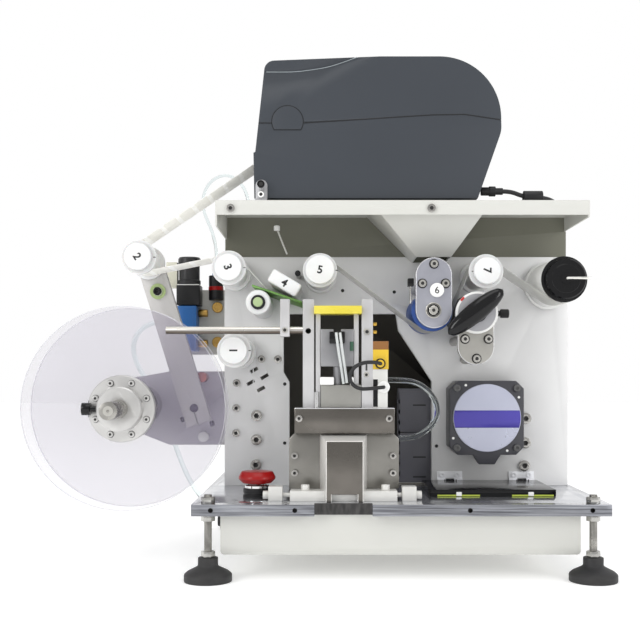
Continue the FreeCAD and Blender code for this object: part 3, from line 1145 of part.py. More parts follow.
def make_air_unit():
    """Regulator, valves and fittings on a bracket at the cabinet's left side."""
    back = "-air_forward - 18"
    bracket = block("air_bracket_plate", ("air_left", "cabinet_left"), (back, back + " + 4"),
                    ("valve_low - 4", "valve_high + 22"))
    front = back + " + 4"
    body = block("regulator_body", ("air_left + 1", "air_left + 30"), (front, front + " + 28"),
                 ("valve_high + 1", "valve_high + 26"))
    knob = turned("regulator_knob_turned", [
        ("0", "0"), ("regulator_radius", "0"), ("regulator_radius", "30"),
        ("regulator_radius - 3", "34"), ("0", "34")],
        ("air_left + 15.5", front + " + 14.5", "valve_high + 27"), "up")
    node("regulator_knob", knob)
    second = rod("second_body", "9", ("air_left + 48", front + " + 9", "226"), "31", "up")
    canister = block("air_canister", ("air_left - 13", "air_left + 1"),
                     (front + " + 6", front + " + 20"), ("valve_high + 23", "valve_high + 55"))
    valve = block("valve_body", ("air_left + 2", "air_left + 26"), (front, front + " + 30"),
                  ("valve_low", "valve_high"))
    brass = [rod("brass_%d" % index, "5", ("air_left + 26", front + " + 10", z), "12", "right", 6)
             for index, z in enumerate(("valve_high - 8", "valve_low + 10"))]
    node("air_valves", [bracket, body, second, canister, valve] + brass)


def cord_tube(label, radius, points):
    """A round tube of straight runs joined by tangent arcs, each as large as its runs allow."""
    spots = [Vector(x, -forward, z) for x, forward, z in points]
    edges = []
    radii = []
    begin = spots[0]
    for before, corner, after in zip(spots, spots[1:], spots[2:]):
        back = before.sub(corner)
        ahead = after.sub(corner)
        reach = 0.45 * min(back.Length, ahead.Length)
        back.normalize()
        ahead.normalize()
        half_turn = (math.pi - back.getAngle(ahead)) / 2
        radii.append(reach / math.tan(half_turn))
        first = corner.add(back.multiply(reach))
        last = corner.add(ahead.multiply(reach))
        inward = first.add(last).multiply(0.5).sub(corner)
        centre_reach = radii[-1] / math.cos(half_turn)
        inward.normalize()
        middle = corner.add(inward.multiply(centre_reach - radii[-1]))
        edges.append(Part.LineSegment(begin, first).toShape())
        edges.append(Part.Arc(first, middle, last).toShape())
        begin = last
    edges.append(Part.LineSegment(begin, spots[-1]).toShape())
    wire = Part.Wire(edges)
    way = spots[1].sub(spots[0])
    ring = Part.Wire([Part.Circle(spots[0], way, radius).toShape()])
    tube = wire.makePipeShell([ring], True, True)
    ratio = tube.Volume / (wire.Length * math.pi * radius ** 2)
    print(label, "length %.0f" % wire.Length, "radii", ["%.0f" % r for r in radii],
          "volume ratio %.3f" % ratio)
    item = solid(label + "_tube", tube)
    return node(label, item)


def make_cords():
    cord_tube("folding_hose", value("hose_radius"), [
        (66, 124, 127.5), (80, 124, 127.5), (96, 125, 125.5), (109, 126, 117.5),
        (118, 127, 105), (120, 127.5, 91.5), (114.5, 127, 79), (103.5, 126, 70),
        (91, 124, 64.5), (78.3, 124, 64.5)])
    cord_tube("sensor_cable", value("tube_radius"), [
        (58, 136, 145), (58, 144, 145), (50, 150.5, 146.5), (39, 151, 146),
        (29, 149, 141), (24.5, 147, 132.5), (27, 147, 123), (35.5, 149, 118),
        (45.5, 150, 118.5), (55, 150, 119.5), (61.3, 145, 120), (61.3, 137, 120)])
    cord_tube("air_hose", value("hose_radius"), [
        (-184, -51, 199), (-198, -51, 199), (-217, -49, 198), (-234, -49, 188),
        (-242, -50, 169), (-238, -52, 148), (-226, -54, 127), (-211, -55, 104),
        (-200, -55, 80), (-192, -54, 54), (-183, -53, 28), (-173, -52, 5),
        (-161, -51, -15), (-147, -50, -29), (-132, -50, -33), (-123, -50, -33)])
    cord_tube("air_tube", value("tube_radius"), [
        (-96, -54, 323.6), (-96, -54, 335), (-97, -54, 350), (-101, -54, 364),
        (-109, -54, 376), (-121, -54, 383), (-134, -54, 382), (-146, -54, 374),
        (-153, -54, 361), (-155, -54, 346), (-151, -54, 331), (-144, -54, 316),
        (-139.5, -54, 301), (-137, -54, 286), (-138, -54, 271), (-138, -54, 257)])
    lead = "printer_front - 13"
    level = 337.4
    low = value("shelf_top") + 2.8
    cord_tube("printer_lead", 2.5, [
        (197, 85, level), (206, 85, level), (219, 85, 332), (232, 85, 330.8), (246, 83, 330.2),
        (258, 72, 327.6), (264, 56, low), (266, 38, low), (265, 16, low), (261, -8, low),
        (257, -30, low), (255, -48, low), (255, -62, low)])
    plug = [rod("plug_body", "4.7", (172.8, lead, "337.4"), "8.9", "right"),
            rod("plug_collar", "5.6", (181.7, lead, "337.4"), "7", "right"),
            rod("plug_relief", "3.8", (188.7, lead, "337.4"), "8.3", "right")]
    bead = rod("ferrite", "7.2", (220, lead, "330.8"), "21", "right")
    hole = rod("ferrite_hole", "4", (219, lead, "331.2"), "23", "right")
    box = block("lead_entry", (248, 262), ("-74", "-62"), ("shelf_top", "shelf_top + 12"))
    node("printer_plug", [fuse("plug", plug), cut("ferrite_cut", bead, [hole])])
    SCREWS.append(box)


make_base_plate()
make_lower_box()
make_feet()
make_main_panel()
make_cabinet()
make_shelf()
make_printer()
make_unwinder()
make_dancer()
make_rollers()
make_nip()
make_web()
make_take_up()
make_motor()
make_flap()
make_stop_button()
make_folding_unit()
make_duct()
make_air_unit()
make_cords()
node("machine_screws", SCREWS)

doc.recompute()
faults = [item.Name for item in doc.Objects
          if "Invalid" in item.State or "Error" in item.State]
for item in NODES:
    if item.Shape.isNull() or not item.Shape.isValid():
        faults.append(item.Label)
if faults:
    raise RuntimeError("these are not sound: " + ", ".join(faults))
for item in NODES:
    item.Shape.exportStep("parts/%s.step" % item.Label)
print(len(NODES), "sub-parts written")
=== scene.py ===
import json
import math

import bpy
from mathutils import Matrix, Vector

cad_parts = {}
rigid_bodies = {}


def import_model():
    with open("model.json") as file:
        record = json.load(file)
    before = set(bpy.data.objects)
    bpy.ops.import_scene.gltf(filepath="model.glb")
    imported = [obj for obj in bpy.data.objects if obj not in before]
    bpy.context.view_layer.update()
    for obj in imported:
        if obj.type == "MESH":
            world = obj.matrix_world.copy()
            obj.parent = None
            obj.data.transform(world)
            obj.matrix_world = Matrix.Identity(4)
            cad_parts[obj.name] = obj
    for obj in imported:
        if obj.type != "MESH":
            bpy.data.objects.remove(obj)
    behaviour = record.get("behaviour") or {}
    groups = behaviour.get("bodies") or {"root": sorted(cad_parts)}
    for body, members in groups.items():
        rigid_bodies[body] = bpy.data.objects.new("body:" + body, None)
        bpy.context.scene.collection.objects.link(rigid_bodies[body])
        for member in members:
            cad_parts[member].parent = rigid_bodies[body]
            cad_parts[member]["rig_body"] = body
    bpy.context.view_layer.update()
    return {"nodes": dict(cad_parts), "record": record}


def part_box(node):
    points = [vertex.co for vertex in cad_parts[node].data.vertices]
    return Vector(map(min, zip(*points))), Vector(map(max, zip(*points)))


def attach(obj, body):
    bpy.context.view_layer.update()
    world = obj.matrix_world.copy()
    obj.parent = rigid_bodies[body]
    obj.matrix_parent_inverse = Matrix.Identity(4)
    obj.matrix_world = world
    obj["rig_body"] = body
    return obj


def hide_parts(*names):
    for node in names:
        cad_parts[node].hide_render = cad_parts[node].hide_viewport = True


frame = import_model()

# Camera
# The photograph's own station: level, 1.2 m in front of the main panel, with the picture
# shifted so that the vanishing point lies low and a little right of the middle.
base_low, base_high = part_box("base_plate")
PLATE_LEFT, PLATE_FRONT = -138.5, 175.0
MM = 0.001


def at(x, forward, z):
    """A point from millimetres right of the view's axis, in front of the panel and above
    the base plate's top."""
    return Vector((base_low.x + (x - PLATE_LEFT) * MM, base_low.y - (forward - PLATE_FRONT) * MM,
                   base_high.z + z * MM))


CAMERA_FORWARD, CAMERA_LEVEL = 1200.0, 135.0
camera_data = bpy.data.cameras.new("camera")
camera_data.lens = 56.25
camera_data.sensor_width = 36.0
camera_data.shift_x = -6 / 640
camera_data.shift_y = 53 / 640
camera_data.clip_end = 20
camera = bpy.data.objects.new("camera", camera_data)
bpy.context.scene.collection.objects.link(camera)
camera.location = at(0, CAMERA_FORWARD, CAMERA_LEVEL)
camera.rotation_euler = (math.radians(90), 0, 0)
bpy.context.scene.camera = camera
bpy.context.scene.view_settings.view_transform = "Standard"


# Hoses and cables
# Clear polyurethane air hoses and thin black cables, each fixed at both ends. Each follows
# the route of its CAD tube.
def linear(colour):
    """A colour given as 0 to 255 as the screen shows it, as the shader wants it."""
    parts = []
    for level in colour:
        share = level / 255
        parts.append(share / 12.92 if share <= 0.04045 else ((share + 0.055) / 1.055) ** 2.4)
    return (*parts, 1.0)


def start_group(name, inputs, outputs):
    group = bpy.data.node_groups.new(name, "ShaderNodeTree")
    for label, kind, default in inputs:
        socket = group.interface.new_socket(name=label, in_out="INPUT", socket_type=kind)
        socket.default_value = default
    for label, kind in outputs:
        group.interface.new_socket(name=label, in_out="OUTPUT", socket_type=kind)
    return group, group.nodes.new("NodeGroupInput"), group.nodes.new("NodeGroupOutput")


def link(tree, source, socket, target, entry):
    tree.links.new(source.outputs[socket], target.inputs[entry])


def grain_group():
    """A fine cast or moulded grain."""
    group, inlet, outlet = start_group(
        "fine_grain", [("Scale", "NodeSocketFloat", 900.0), ("Depth", "NodeSocketFloat", 0.2)],
        [("Mask", "NodeSocketFloat"), ("Normal", "NodeSocketVector")])
    place = group.nodes.new("ShaderNodeTexCoord")
    noise = group.nodes.new("ShaderNodeTexNoise")
    noise.inputs["Detail"].default_value = 3.0
    bump = group.nodes.new("ShaderNodeBump")
    bump.inputs["Distance"].default_value = 0.0002
    link(group, place, "Object", noise, "Vector")
    link(group, inlet, "Scale", noise, "Scale")
    link(group, inlet, "Depth", bump, "Strength")
    link(group, noise, "Fac", bump, "Height")
    link(group, noise, "Fac", outlet, "Mask")
    link(group, bump, "Normal", outlet, "Normal")
    return group


def brushed_group():
    """Long brush lines, drawn out along one direction."""
    group, inlet, outlet = start_group(
        "brush_lines", [("Stretch", "NodeSocketVector", (1.0, 1.0, 1.0)),
                        ("Depth", "NodeSocketFloat", 0.2)],
        [("Mask", "NodeSocketFloat"), ("Normal", "NodeSocketVector")])
    place = group.nodes.new("ShaderNodeTexCoord")
    stretch = group.nodes.new("ShaderNodeVectorMath")
    stretch.operation = "MULTIPLY"
    noise = group.nodes.new("ShaderNodeTexNoise")
    noise.inputs["Scale"].default_value = 1.0
    noise.inputs["Detail"].default_value = 4.0
    bump = group.nodes.new("ShaderNodeBump")
    bump.inputs["Distance"].default_value = 0.0001
    link(group, place, "Object", stretch, 0)
    link(group, inlet, "Stretch", stretch, 1)
    link(group, stretch, "Vector", noise, "Vector")
    link(group, inlet, "Depth", bump, "Strength")
    link(group, noise, "Fac", bump, "Height")
    link(group, noise, "Fac", outlet, "Mask")
    link(group, bump, "Normal", outlet, "Normal")
    return group


def turns_group():
    """Even rings or thread turns. Turns is the direction they follow, with a length of 314
    over their pitch in millimetres."""
    group, inlet, outlet = start_group(
        "even_turns", [("Turns", "NodeSocketVector", (0.0, 0.0, 100.0)),
                       ("Depth", "NodeSocketFloat", 0.5)],
        [("Mask", "NodeSocketFloat"), ("Normal", "NodeSocketVector")])
    place = group.nodes.new("ShaderNodeTexCoord")
    along = group.nodes.new("ShaderNodeVectorMath")
    along.operation = "DOT_PRODUCT"
    line = group.nodes.new("ShaderNodeCombineXYZ")
    wave = group.nodes.new("ShaderNodeTexWave")
    wave.inputs["Scale"].default_value = 1.0
    bump = group.nodes.new("ShaderNodeBump")
    bump.inputs["Distance"].default_value = 0.0004
    link(group, place, "Object", along, 0)
    link(group, inlet, "Turns", along, 1)
    link(group, along, "Value", line, "X")
    link(group, line, "Vector", wave, "Vector")
    link(group, inlet, "Depth", bump, "Strength")
    link(group, wave, "Fac", bump, "Height")
    link(group, wave, "Fac", outlet, "Mask")
    link(group, bump, "Normal", outlet, "Normal")
    return group


def marks_group():
    """The soft, uneven marks that handling leaves."""
    group, inlet, outlet = start_group(
        "handling_marks", [("Size", "NodeSocketVector", (18, 18, 18)), ("Low", "NodeSocketFloat", 0.35),
                           ("High", "NodeSocketFloat", 0.75)], [("Mask", "NodeSocketFloat")])
    place = group.nodes.new("ShaderNodeTexCoord")
    noise = group.nodes.new("ShaderNodeTexNoise")
    noise.inputs["Detail"].default_value = 5.0
    noise.inputs["Scale"].default_value = 1.0
    scaled = group.nodes.new("ShaderNodeVectorMath")
    scaled.operation = "MULTIPLY"
    spread = group.nodes.new("ShaderNodeMapRange")
    link(group, place, "Object", scaled, 0)
    link(group, inlet, "Size", scaled, 1)
    link(group, scaled, "Vector", noise, "Vector")
    link(group, noise, "Fac", spread, "Value")
    link(group, inlet, "Low", spread, "From Min")
    link(group, inlet, "High", spread, "From Max")
    link(group, spread, "Result", outlet, "Mask")
    return group


GRAIN, BRUSHED, TURNS, MARKS = grain_group(), brushed_group(), turns_group(), marks_group()


def finish(name, colour, rough, metal=0.0, grain=None, brush=None, turns=None, second=None,
           marks=18.0, rough_spread=0.08, bands=None, **sockets):
    """A finish: its colour drifts to a second one under the marks, its roughness spreads
    with them, and its relief is a grain (scale, depth), brush lines (stretch, depth) or even
    turns (direction, depth). Bands (direction, share, colour) draws even cross bands."""
    material = bpy.data.materials.new(name)
    material.use_nodes = True
    tree = material.node_tree
    shader = tree.nodes["Principled BSDF"]
    shader.inputs["Metallic"].default_value = metal
    for label, setting in sockets.items():
        shader.inputs[label.replace("_", " ")].default_value = setting
    wear = tree.nodes.new("ShaderNodeGroup")
    wear.node_tree = MARKS
    wear.inputs["Size"].default_value = marks if isinstance(marks, tuple) else (marks,) * 3
    tint = tree.nodes.new("ShaderNodeMix")
    tint.data_type = "RGBA"
    tint.inputs["A"].default_value = linear(colour)
    tint.inputs["B"].default_value = linear(second or [level * 0.95 for level in colour])
    link(tree, wear, "Mask", tint, "Factor")
    result = tint.outputs["Result"]
    if bands:
        rings = tree.nodes.new("ShaderNodeGroup")
        rings.node_tree = TURNS
        rings.inputs["Turns"].default_value = bands[0]
        sharp = tree.nodes.new("ShaderNodeMapRange")
        sharp.inputs["From Min"].default_value = 1 - bands[1]
        sharp.inputs["From Max"].default_value = 1.02 - bands[1]
        link(tree, rings, "Mask", sharp, "Value")
        band = tree.nodes.new("ShaderNodeMix")
        band.data_type = "RGBA"
        band.inputs["B"].default_value = linear(bands[2])
        tree.links.new(result, band.inputs["A"])
        link(tree, sharp, "Result", band, "Factor")
        result = band.outputs["Result"]
    tree.links.new(result, shader.inputs["Base Color"])
    gloss = tree.nodes.new("ShaderNodeMapRange")
    gloss.inputs["To Min"].default_value = rough
    gloss.inputs["To Max"].default_value = min(1.0, rough + rough_spread)
    link(tree, wear, "Mask", gloss, "Value")
    link(tree, gloss, "Result", shader, "Roughness")
    for group, entry, setting in ((GRAIN, "Scale", grain), (BRUSHED, "Stretch", brush),
                                  (TURNS, "Turns", turns)):
        if setting:
            relief = tree.nodes.new("ShaderNodeGroup")
            relief.node_tree = group
            relief.inputs[entry].default_value, relief.inputs["Depth"].default_value = setting
            link(tree, relief, "Normal", shader, "Normal")
    return material


SLOTS = {row["node"]: row["material_slot"] for row in frame["record"]["subparts"]}
clear_tube = finish("clear_tube", (238, 246, 246), 0.04, rough_spread=0.02, Alpha=0.92,
                    Transmission_Weight=1.0, IOR=1.3)
cable_black = finish("cable_black", (24, 24, 26), 0.42, grain=(900, 0.05))


def route(name, points, steps, smooth=True):
    """An object with one open curve through some points."""
    data = bpy.data.curves.new(name, "CURVE")
    data.dimensions = "3D"
    spline = data.splines.new("NURBS" if smooth else "POLY")
    spline.points.add(len(points) - 1)
    for spot, point in zip(spline.points, points):
        spot.co = (*at(*point), 1.0)
    if smooth:
        spline.order_u = 3
        spline.use_endpoint_u = True
        spline.resolution_u = steps
    line = bpy.data.objects.new(name, data)
    bpy.context.scene.collection.objects.link(line)
    return line


def flexible(name, node, radius, points, material):
    """A cord or hose on one smooth curve through the route of its CAD tube."""
    hose = route(name, points, 8)
    data = hose.data
    bpy.context.view_layer.update()
    line = bpy.data.meshes.new_from_object(hose)
    data.bevel_depth = radius * MM
    data.bevel_resolution = 4
    data.use_fill_caps = True
    data.materials.append(material)
    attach(hose, "frame")
    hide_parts(node)
    return hose


flexible("folding_hose_clear", "folding_hose", 3, [
    (66, 124, 127.5), (80, 124, 127.5), (96, 125, 125.5), (109, 126, 117.5),
    (118, 127, 105), (120, 127.5, 91.5), (114.5, 127, 79), (103.5, 126, 70),
    (91, 124, 64.5), (78.3, 124, 64.5)], clear_tube)
flexible("sensor_cable_black", "sensor_cable", 2, [
    (58, 136, 145), (58, 144, 145), (50, 150.5, 146.5), (39, 151, 146),
    (29, 149, 141), (24.5, 147, 132.5), (27, 147, 123), (35.5, 149, 118),
    (45.5, 150, 118.5), (55, 150, 119.5), (61.3, 145, 120), (61.3, 137, 120)],
    cable_black)
flexible("air_hose_clear", "air_hose", 3, [
    (-184, -51, 199), (-198, -51, 199), (-217, -49, 198), (-234, -49, 188),
    (-242, -50, 169), (-238, -52, 148), (-226, -54, 127), (-211, -55, 104),
    (-200, -55, 80), (-192, -54, 54), (-183, -53, 28), (-173, -52, 5),
    (-161, -51, -15), (-147, -50, -29), (-132, -50, -33), (-123, -50, -33)],
    clear_tube)
flexible("air_tube_clear", "air_tube", 2, [
    (-96, -54, 323.6), (-96, -54, 335), (-97, -54, 350), (-101, -54, 364),
    (-109, -54, 376), (-121, -54, 383), (-134, -54, 382), (-146, -54, 374),
    (-153, -54, 361), (-155, -54, 346), (-151, -54, 331), (-144, -54, 316),
    (-139.5, -54, 301), (-137, -54, 286), (-138, -54, 271), (-138, -54, 257)],
    clear_tube)
flexible("printer_lead_black", "printer_lead", 2.5, [
    (197, 85, 337.4), (206, 85, 337.4), (219, 85, 332), (232, 85, 330.8), (246, 83, 330.2),
    (258, 72, 327.6), (264, 56, 326.4), (266, 38, 326.4), (265, 16, 326.4), (261, -8, 326.4),
    (257, -30, 326.4), (255, -48, 326.4), (255, -62, 326.4)], cable_black)

# Floor and light
# A white studio floor, a white backdrop all round the far side, a dimmer room on the near
# side and three large soft lights.
bpy.ops.object.select_all(action="DESELECT")
bpy.ops.mesh.primitive_plane_add(size=12, location=(0, 0, 0))
floor = bpy.context.object
floor.name = "studio_floor"
bpy.ops.object.transform_apply(location=True, rotation=True, scale=True)
floor.data.materials.append(finish("studio_white", (253, 253, 253), 0.9, grain=(40, 0.02),
                                   second=(251, 251, 251), Emission_Color=(1, 1, 1, 1),
                                   Emission_Strength=0.22))
world = bpy.data.worlds.new("studio")
world.use_nodes = True
room = world.node_tree
direction = room.nodes.new("ShaderNodeTexCoord")
parts = room.nodes.new("ShaderNodeSeparateXYZ")
spread = room.nodes.new("ShaderNodeMapRange")
spread.inputs["From Min"].default_value = -0.3
spread.inputs["From Max"].default_value = 0.45
spread.inputs["To Min"].default_value = 0.72
spread.inputs["To Max"].default_value = 1.0
link(room, direction, "Generated", parts, "Vector")
link(room, parts, "Y", spread, "Value")
link(room, spread, "Result", room.nodes["Background"], "Strength")
room.nodes["Background"].inputs["Color"].default_value = (1.0, 1.0, 1.0, 1)
bpy.context.scene.world = world


def soft_light(name, place, aim, size, power):
    lamp_data = bpy.data.lights.new(name, "AREA")
    lamp_data.shape = "RECTANGLE"
    lamp_data.size, lamp_data.size_y = size
    lamp_data.energy = power
    lamp = bpy.data.objects.new(name, lamp_data)
    bpy.context.scene.collection.objects.link(lamp)
    lamp.location = place
    lamp.rotation_euler = (Vector(aim) - Vector(place)).to_track_quat("-Z", "Y").to_euler()
    return lamp


soft_light("left_light", (-1.5, -1.6, 1.0), (0, 0, 0.25), (0.7, 1.2), 14)
soft_light("right_light", (1.5, -1.4, 0.8), (0, 0, 0.25), (0.5, 1.0), 7)
soft_light("top_light", (0.1, -0.7, 1.9), (0, 0, 0.3), (1.4, 1.0), 7)

# Base plate
# A 12 mm ground aluminium plate with a nearly mirror-like top and a streaky sawn front
# edge, which has four tapped holes and a notch under the folding cover.
ground_plate = finish("ground_plate", (212, 213, 217), 0.14, metal=0.9, grain=(260, 0.06),
                      second=(196, 198, 203), marks=40, rough_spread=0.08)
sawn_edge = finish("sawn_edge", (158, 160, 166), 0.3, metal=0.8, brush=((14, 40, 1400), 0.4),
                   second=(70, 71, 77), marks=(16, 60, 620), rough_spread=0.2)


def pick(piece):
    bpy.ops.object.select_all(action="DESELECT")
    piece.select_set(True)
    bpy.context.view_layer.objects.active = piece


def clean_copy(node, name):
    """A merged copy of a CAD node's mesh that is free to be shaped."""
    source = frame["nodes"][node]
    piece = bpy.data.objects.new(name, source.data.copy())
    bpy.context.scene.collection.objects.link(piece)
    pick(piece)
    bpy.ops.mesh.customdata_custom_splitnormals_clear()
    bpy.ops.object.mode_set(mode="EDIT")
    bpy.ops.mesh.select_all(action="SELECT")
    bpy.ops.mesh.remove_doubles(threshold=1e-6)
    bpy.ops.mesh.dissolve_limited(angle_limit=math.radians(0.6))
    bpy.ops.object.mode_set(mode="OBJECT")
    return piece


def settle(piece, material, body, slot, *nodes):
    """Give a finished piece its material, its body and the CAD nodes that it stands for."""
    piece.data.materials.clear()
    piece.data.materials.append(material)
    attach(piece, body)
    if nodes:
        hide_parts(*nodes)
    return piece


def soften(piece, width, segments=2, angle=35):
    """Break a piece's edges as a file or a mould does."""
    pick(piece)
    bevel = piece.modifiers.new("edges", "BEVEL")
    bevel.width = width
    bevel.segments = segments
    bevel.limit_method = "ANGLE"
    bevel.angle_limit = math.radians(angle)
    bevel.use_clamp_overlap = True
    bpy.ops.object.modifier_apply(modifier="edges")
    bpy.ops.object.shade_smooth_by_angle(angle=math.radians(38))
    return piece


def body_of(node):
    return frame["nodes"][node]["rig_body"]


def broken_edges(node, width, material, segments=2):
    """The CAD node's own shape with its edges broken."""
    piece = soften(clean_copy(node, node + "_finished"), width, segments)
    return settle(piece, material, body_of(node), SLOTS[node], node)


def paint(piece, material, chosen):
    """Give the faces for which chosen(x, forward, z, normal) holds their own material. Their
    middles are in millimetres and the normal's second part points backwards."""
    piece.data.materials.append(material)
    index = len(piece.data.materials) - 1
    for face in piece.data.polygons:
        spot = face.center
        if chosen((spot.x - base_low.x) / MM + PLATE_LEFT,
                  PLATE_FRONT - (spot.y - base_low.y) / MM,
                  (spot.z - base_high.z) / MM, face.normal):
            face.material_index = index
    return piece


base = broken_edges("base_plate", 0.0006, ground_plate)
paint(base, sawn_edge, lambda x, forward, z, normal: abs(normal.z) < 0.3)
tapped_hole_painted_shade = finish("tapped_hole_painted_shade", (14, 14, 15), 0.7, turns=((0, 314, 0), 0.4))
notch_painted_shade = finish("notch_painted_shade", (30, 29, 29), 0.5, second=(74, 72, 71), marks=(220, 90, 60))
# Painted shade: the notch's back wall, facing the front under the folding cover, is painted dark as the
# shade in the notch.
paint(base, notch_painted_shade, lambda x, forward, z, normal: normal.y < -0.9 and forward < 170)
# Painted shade: the insides of the four tapped holes are painted near black as the shade in them.
TAPPED_HOLES = (-118.5, -25, 131, 273.5)
paint(base, tapped_hole_painted_shade, lambda x, forward, z, normal: 166 < forward < 174 and -8 < z < -3
      and normal.y > -0.9 and abs(normal.z) < 0.99
      and min(abs(x - hole) for hole in TAPPED_HOLES) < 30)

# Lower box
# Folded sheet under the base plate, powder coated cream, with two black cable glands. The
# lower corners of its front are drawn in to the small radius of a folded edge.
cream_coat = finish("cream_coat", (206, 206, 201), 0.38, grain=(420, 0.05),
                    second=(201, 201, 195), marks=9, Coat_Weight=0.15, Coat_Roughness=0.3)
black_moulding = finish("black_moulding", (24, 24, 26), 0.4, grain=(900, 0.08),
                        Specular_IOR_Level=0.35)
lower_box = broken_edges("lower_box", 0.0008, cream_coat)
paint(lower_box, black_moulding, lambda x, forward, z, normal: x < -110.2)
BOX_LEFT, BOX_RIGHT, BOX_LOW = -110, 265, -54
BEND_RADIUS, TIGHTENED = 12, 0.66
for corner in lower_box.data.vertices:
    along = (corner.co.x - base_low.x) / MM + PLATE_LEFT
    high = (corner.co.z - base_high.z) / MM - BOX_LOW
    inward = min(along - BOX_LEFT, BOX_RIGHT - along)
    if -0.01 < inward < BEND_RADIUS + 0.05 and high < BEND_RADIUS - 0.1:
        sign = 1 if along < 0 else -1
        corner.co.x -= sign * inward * TIGHTENED * MM
        corner.co.z -= high * TIGHTENED * MM

# Levelling feet
# Plated threaded studs with their jam nuts, in black rubber pads with a necked cone.
bright_steel = finish("bright_steel", (190, 189, 185), 0.2, metal=1.0,
                      brush=((900, 900, 60), 0.12), second=(150, 149, 146), marks=70)
threaded = finish("threaded_steel", (176, 174, 168), 0.26, metal=1.0, turns=((0, 0, 251), 0.9),
                  second=(120, 118, 114), marks=70)
pad_rubber = finish("pad_rubber", (30, 30, 32), 0.55, grain=(700, 0.2), second=(52, 51, 50),
                    marks=30)
FEET = ((-122.5, 162), (277.5, 162), (-122.5, -192), (277.5, -192))
studs = broken_edges("levelling_studs", 0.0004, bright_steel)
paint(studs, threaded, lambda x, forward, z, normal: abs(normal.z) < 0.5 and min(
    math.hypot(x - foot[0], forward - foot[1]) for foot in FEET) < 4.3)
broken_edges("foot_pads", 0.0009, pad_rubber, 3)

# Main panel
# 12 mm aluminium, blasted to an even light grey, with one stepped opening and small black
# fixing screws.
blasted = finish("blasted_aluminium", (232, 232, 232), 0.44, metal=0.1, grain=(1500, 0.16),
                 second=(225, 225, 225), marks=14)
gloss_black = finish("gloss_black", (9, 9, 11), 0.1, Coat_Weight=0.12, Coat_Roughness=0.05,
                     Specular_IOR_Level=0.28)
broken_edges("main_panel", 0.0006, blasted)
TURN_OF = {"front": Matrix.Rotation(math.radians(90), 4, "X"), "up": Matrix.Identity(4),
           "right": Matrix.Rotation(math.radians(90), 4, "Y"),
           "left": Matrix.Rotation(math.radians(-90), 4, "Y")}


def turned(name, profile, place, material, body, slot, *nodes, toward="front", sides=56):
    """A turned piece: (radius, along) pairs in millimetres from its rear to its front, on an
    axis through a place given as (x, forward, z)."""
    bpy.ops.object.select_all(action="DESELECT")
    radius, along = profile[0]
    bpy.ops.mesh.primitive_circle_add(vertices=sides, radius=radius * MM, fill_type="NGON",
                                      location=(0, 0, along * MM))
    piece = bpy.context.object
    piece.name = name
    bpy.ops.object.transform_apply(location=True, rotation=True, scale=True)
    bpy.ops.object.mode_set(mode="EDIT")
    bpy.ops.mesh.select_all(action="SELECT")
    for wide, high in profile[1:]:
        bpy.ops.mesh.extrude_region_move(
            TRANSFORM_OT_translate={"value": (0, 0, (high - along) * MM)})
        bpy.ops.transform.resize(value=(wide / radius, wide / radius, 1),
                                 center_override=(0, 0, high * MM))
        radius, along = wide, high
    bpy.ops.mesh.select_all(action="SELECT")
    bpy.ops.mesh.normals_make_consistent(inside=False)
    bpy.ops.object.mode_set(mode="OBJECT")
    bpy.ops.object.shade_smooth_by_angle(angle=math.radians(32))
    turn = TURN_OF[toward] if isinstance(toward, str) else toward
    piece.data.transform(Matrix.Translation(at(*place)) @ turn)
    return settle(piece, material, body, slot, *nodes)


# Painted shade: the dark colour given to screw sockets stands for the shade inside the recess.
socket_painted_shade = finish("socket_painted_shade", (34, 33, 32), 0.5)


def screw_head(name, radius, place, body, material, high=2.0, toward="front", slot="steel"):
    """A cap screw's head with its hexagon socket, whose faces are painted dark as the shade inside it.
    """
    head = turned(name, [(radius, 0), (radius, high - 0.3), (radius - 0.3, high),
                         (radius * 0.56, high), (radius * 0.5, high - 0.5)],
                  place, material, body, slot, toward=toward, sides=24)
    head.data.materials.append(socket_painted_shade)
    middle = at(*place)
    for face in head.data.polygons:
        spots = [head.data.vertices[index].co - middle for index in face.vertices]
        flat = [math.hypot(spot.x, spot.z if toward == "front" else spot.y) for spot in spots]
        if max(flat) < radius * 0.58 * MM:
            face.material_index = 1
    return head


for index, spot in enumerate(((19.9, 233.8), (81.9, 232.2), (132.5, 47.4), (-49.5, 121.8),
                              (-49.5, 51))):
    screw_head("panel_dot_%d" % index, 2.0, (spot[0], -0.2, spot[1]), body_of("main_panel"),
               gloss_black, 0.9)


def tube(name, points, radius, material, body, slot="clear_tube", smooth=True):
    """A short rigid tube or a bent wire through some points."""
    piece = route(name, points, 6, smooth)
    piece.data.bevel_depth = radius * MM
    piece.data.bevel_resolution = 3
    piece.data.use_fill_caps = True
    pick(piece)
    bpy.ops.object.convert(target="MESH")
    bpy.ops.object.shade_smooth_by_angle(angle=math.radians(50))
    return settle(bpy.context.object, material, body, slot)


def boxed(name, x, forward, z, material, body, slot, edge=0.6, segments=2, turn=0.0,
          top=None):
    """A moulded or milled block between three pairs of millimetres, with rounded edges. Top
    scales the upper end, and turn is clockwise seen from the front."""
    bpy.ops.object.select_all(action="DESELECT")
    bpy.ops.mesh.primitive_cube_add(size=1)
    piece = bpy.context.object
    piece.name = name
    bpy.ops.object.mode_set(mode="EDIT")
    bpy.ops.mesh.select_all(action="SELECT")
    bpy.ops.transform.resize(value=[(pair[1] - pair[0]) * MM for pair in (x, forward, z)])
    bpy.ops.object.mode_set(mode="OBJECT")
    if top:
        for corner in piece.data.vertices:
            if corner.co.z > 0:
                corner.co.x *= top
    soften(piece, edge * MM, segments)
    middle = at(*[sum(pair) / 2 for pair in (x, forward, z)])
    piece.data.transform(Matrix.Translation(middle)
                         @ Matrix.Rotation(math.radians(turn), 4, "Y"))
    return settle(piece, material, body, slot)


FRAME = body_of("main_panel")
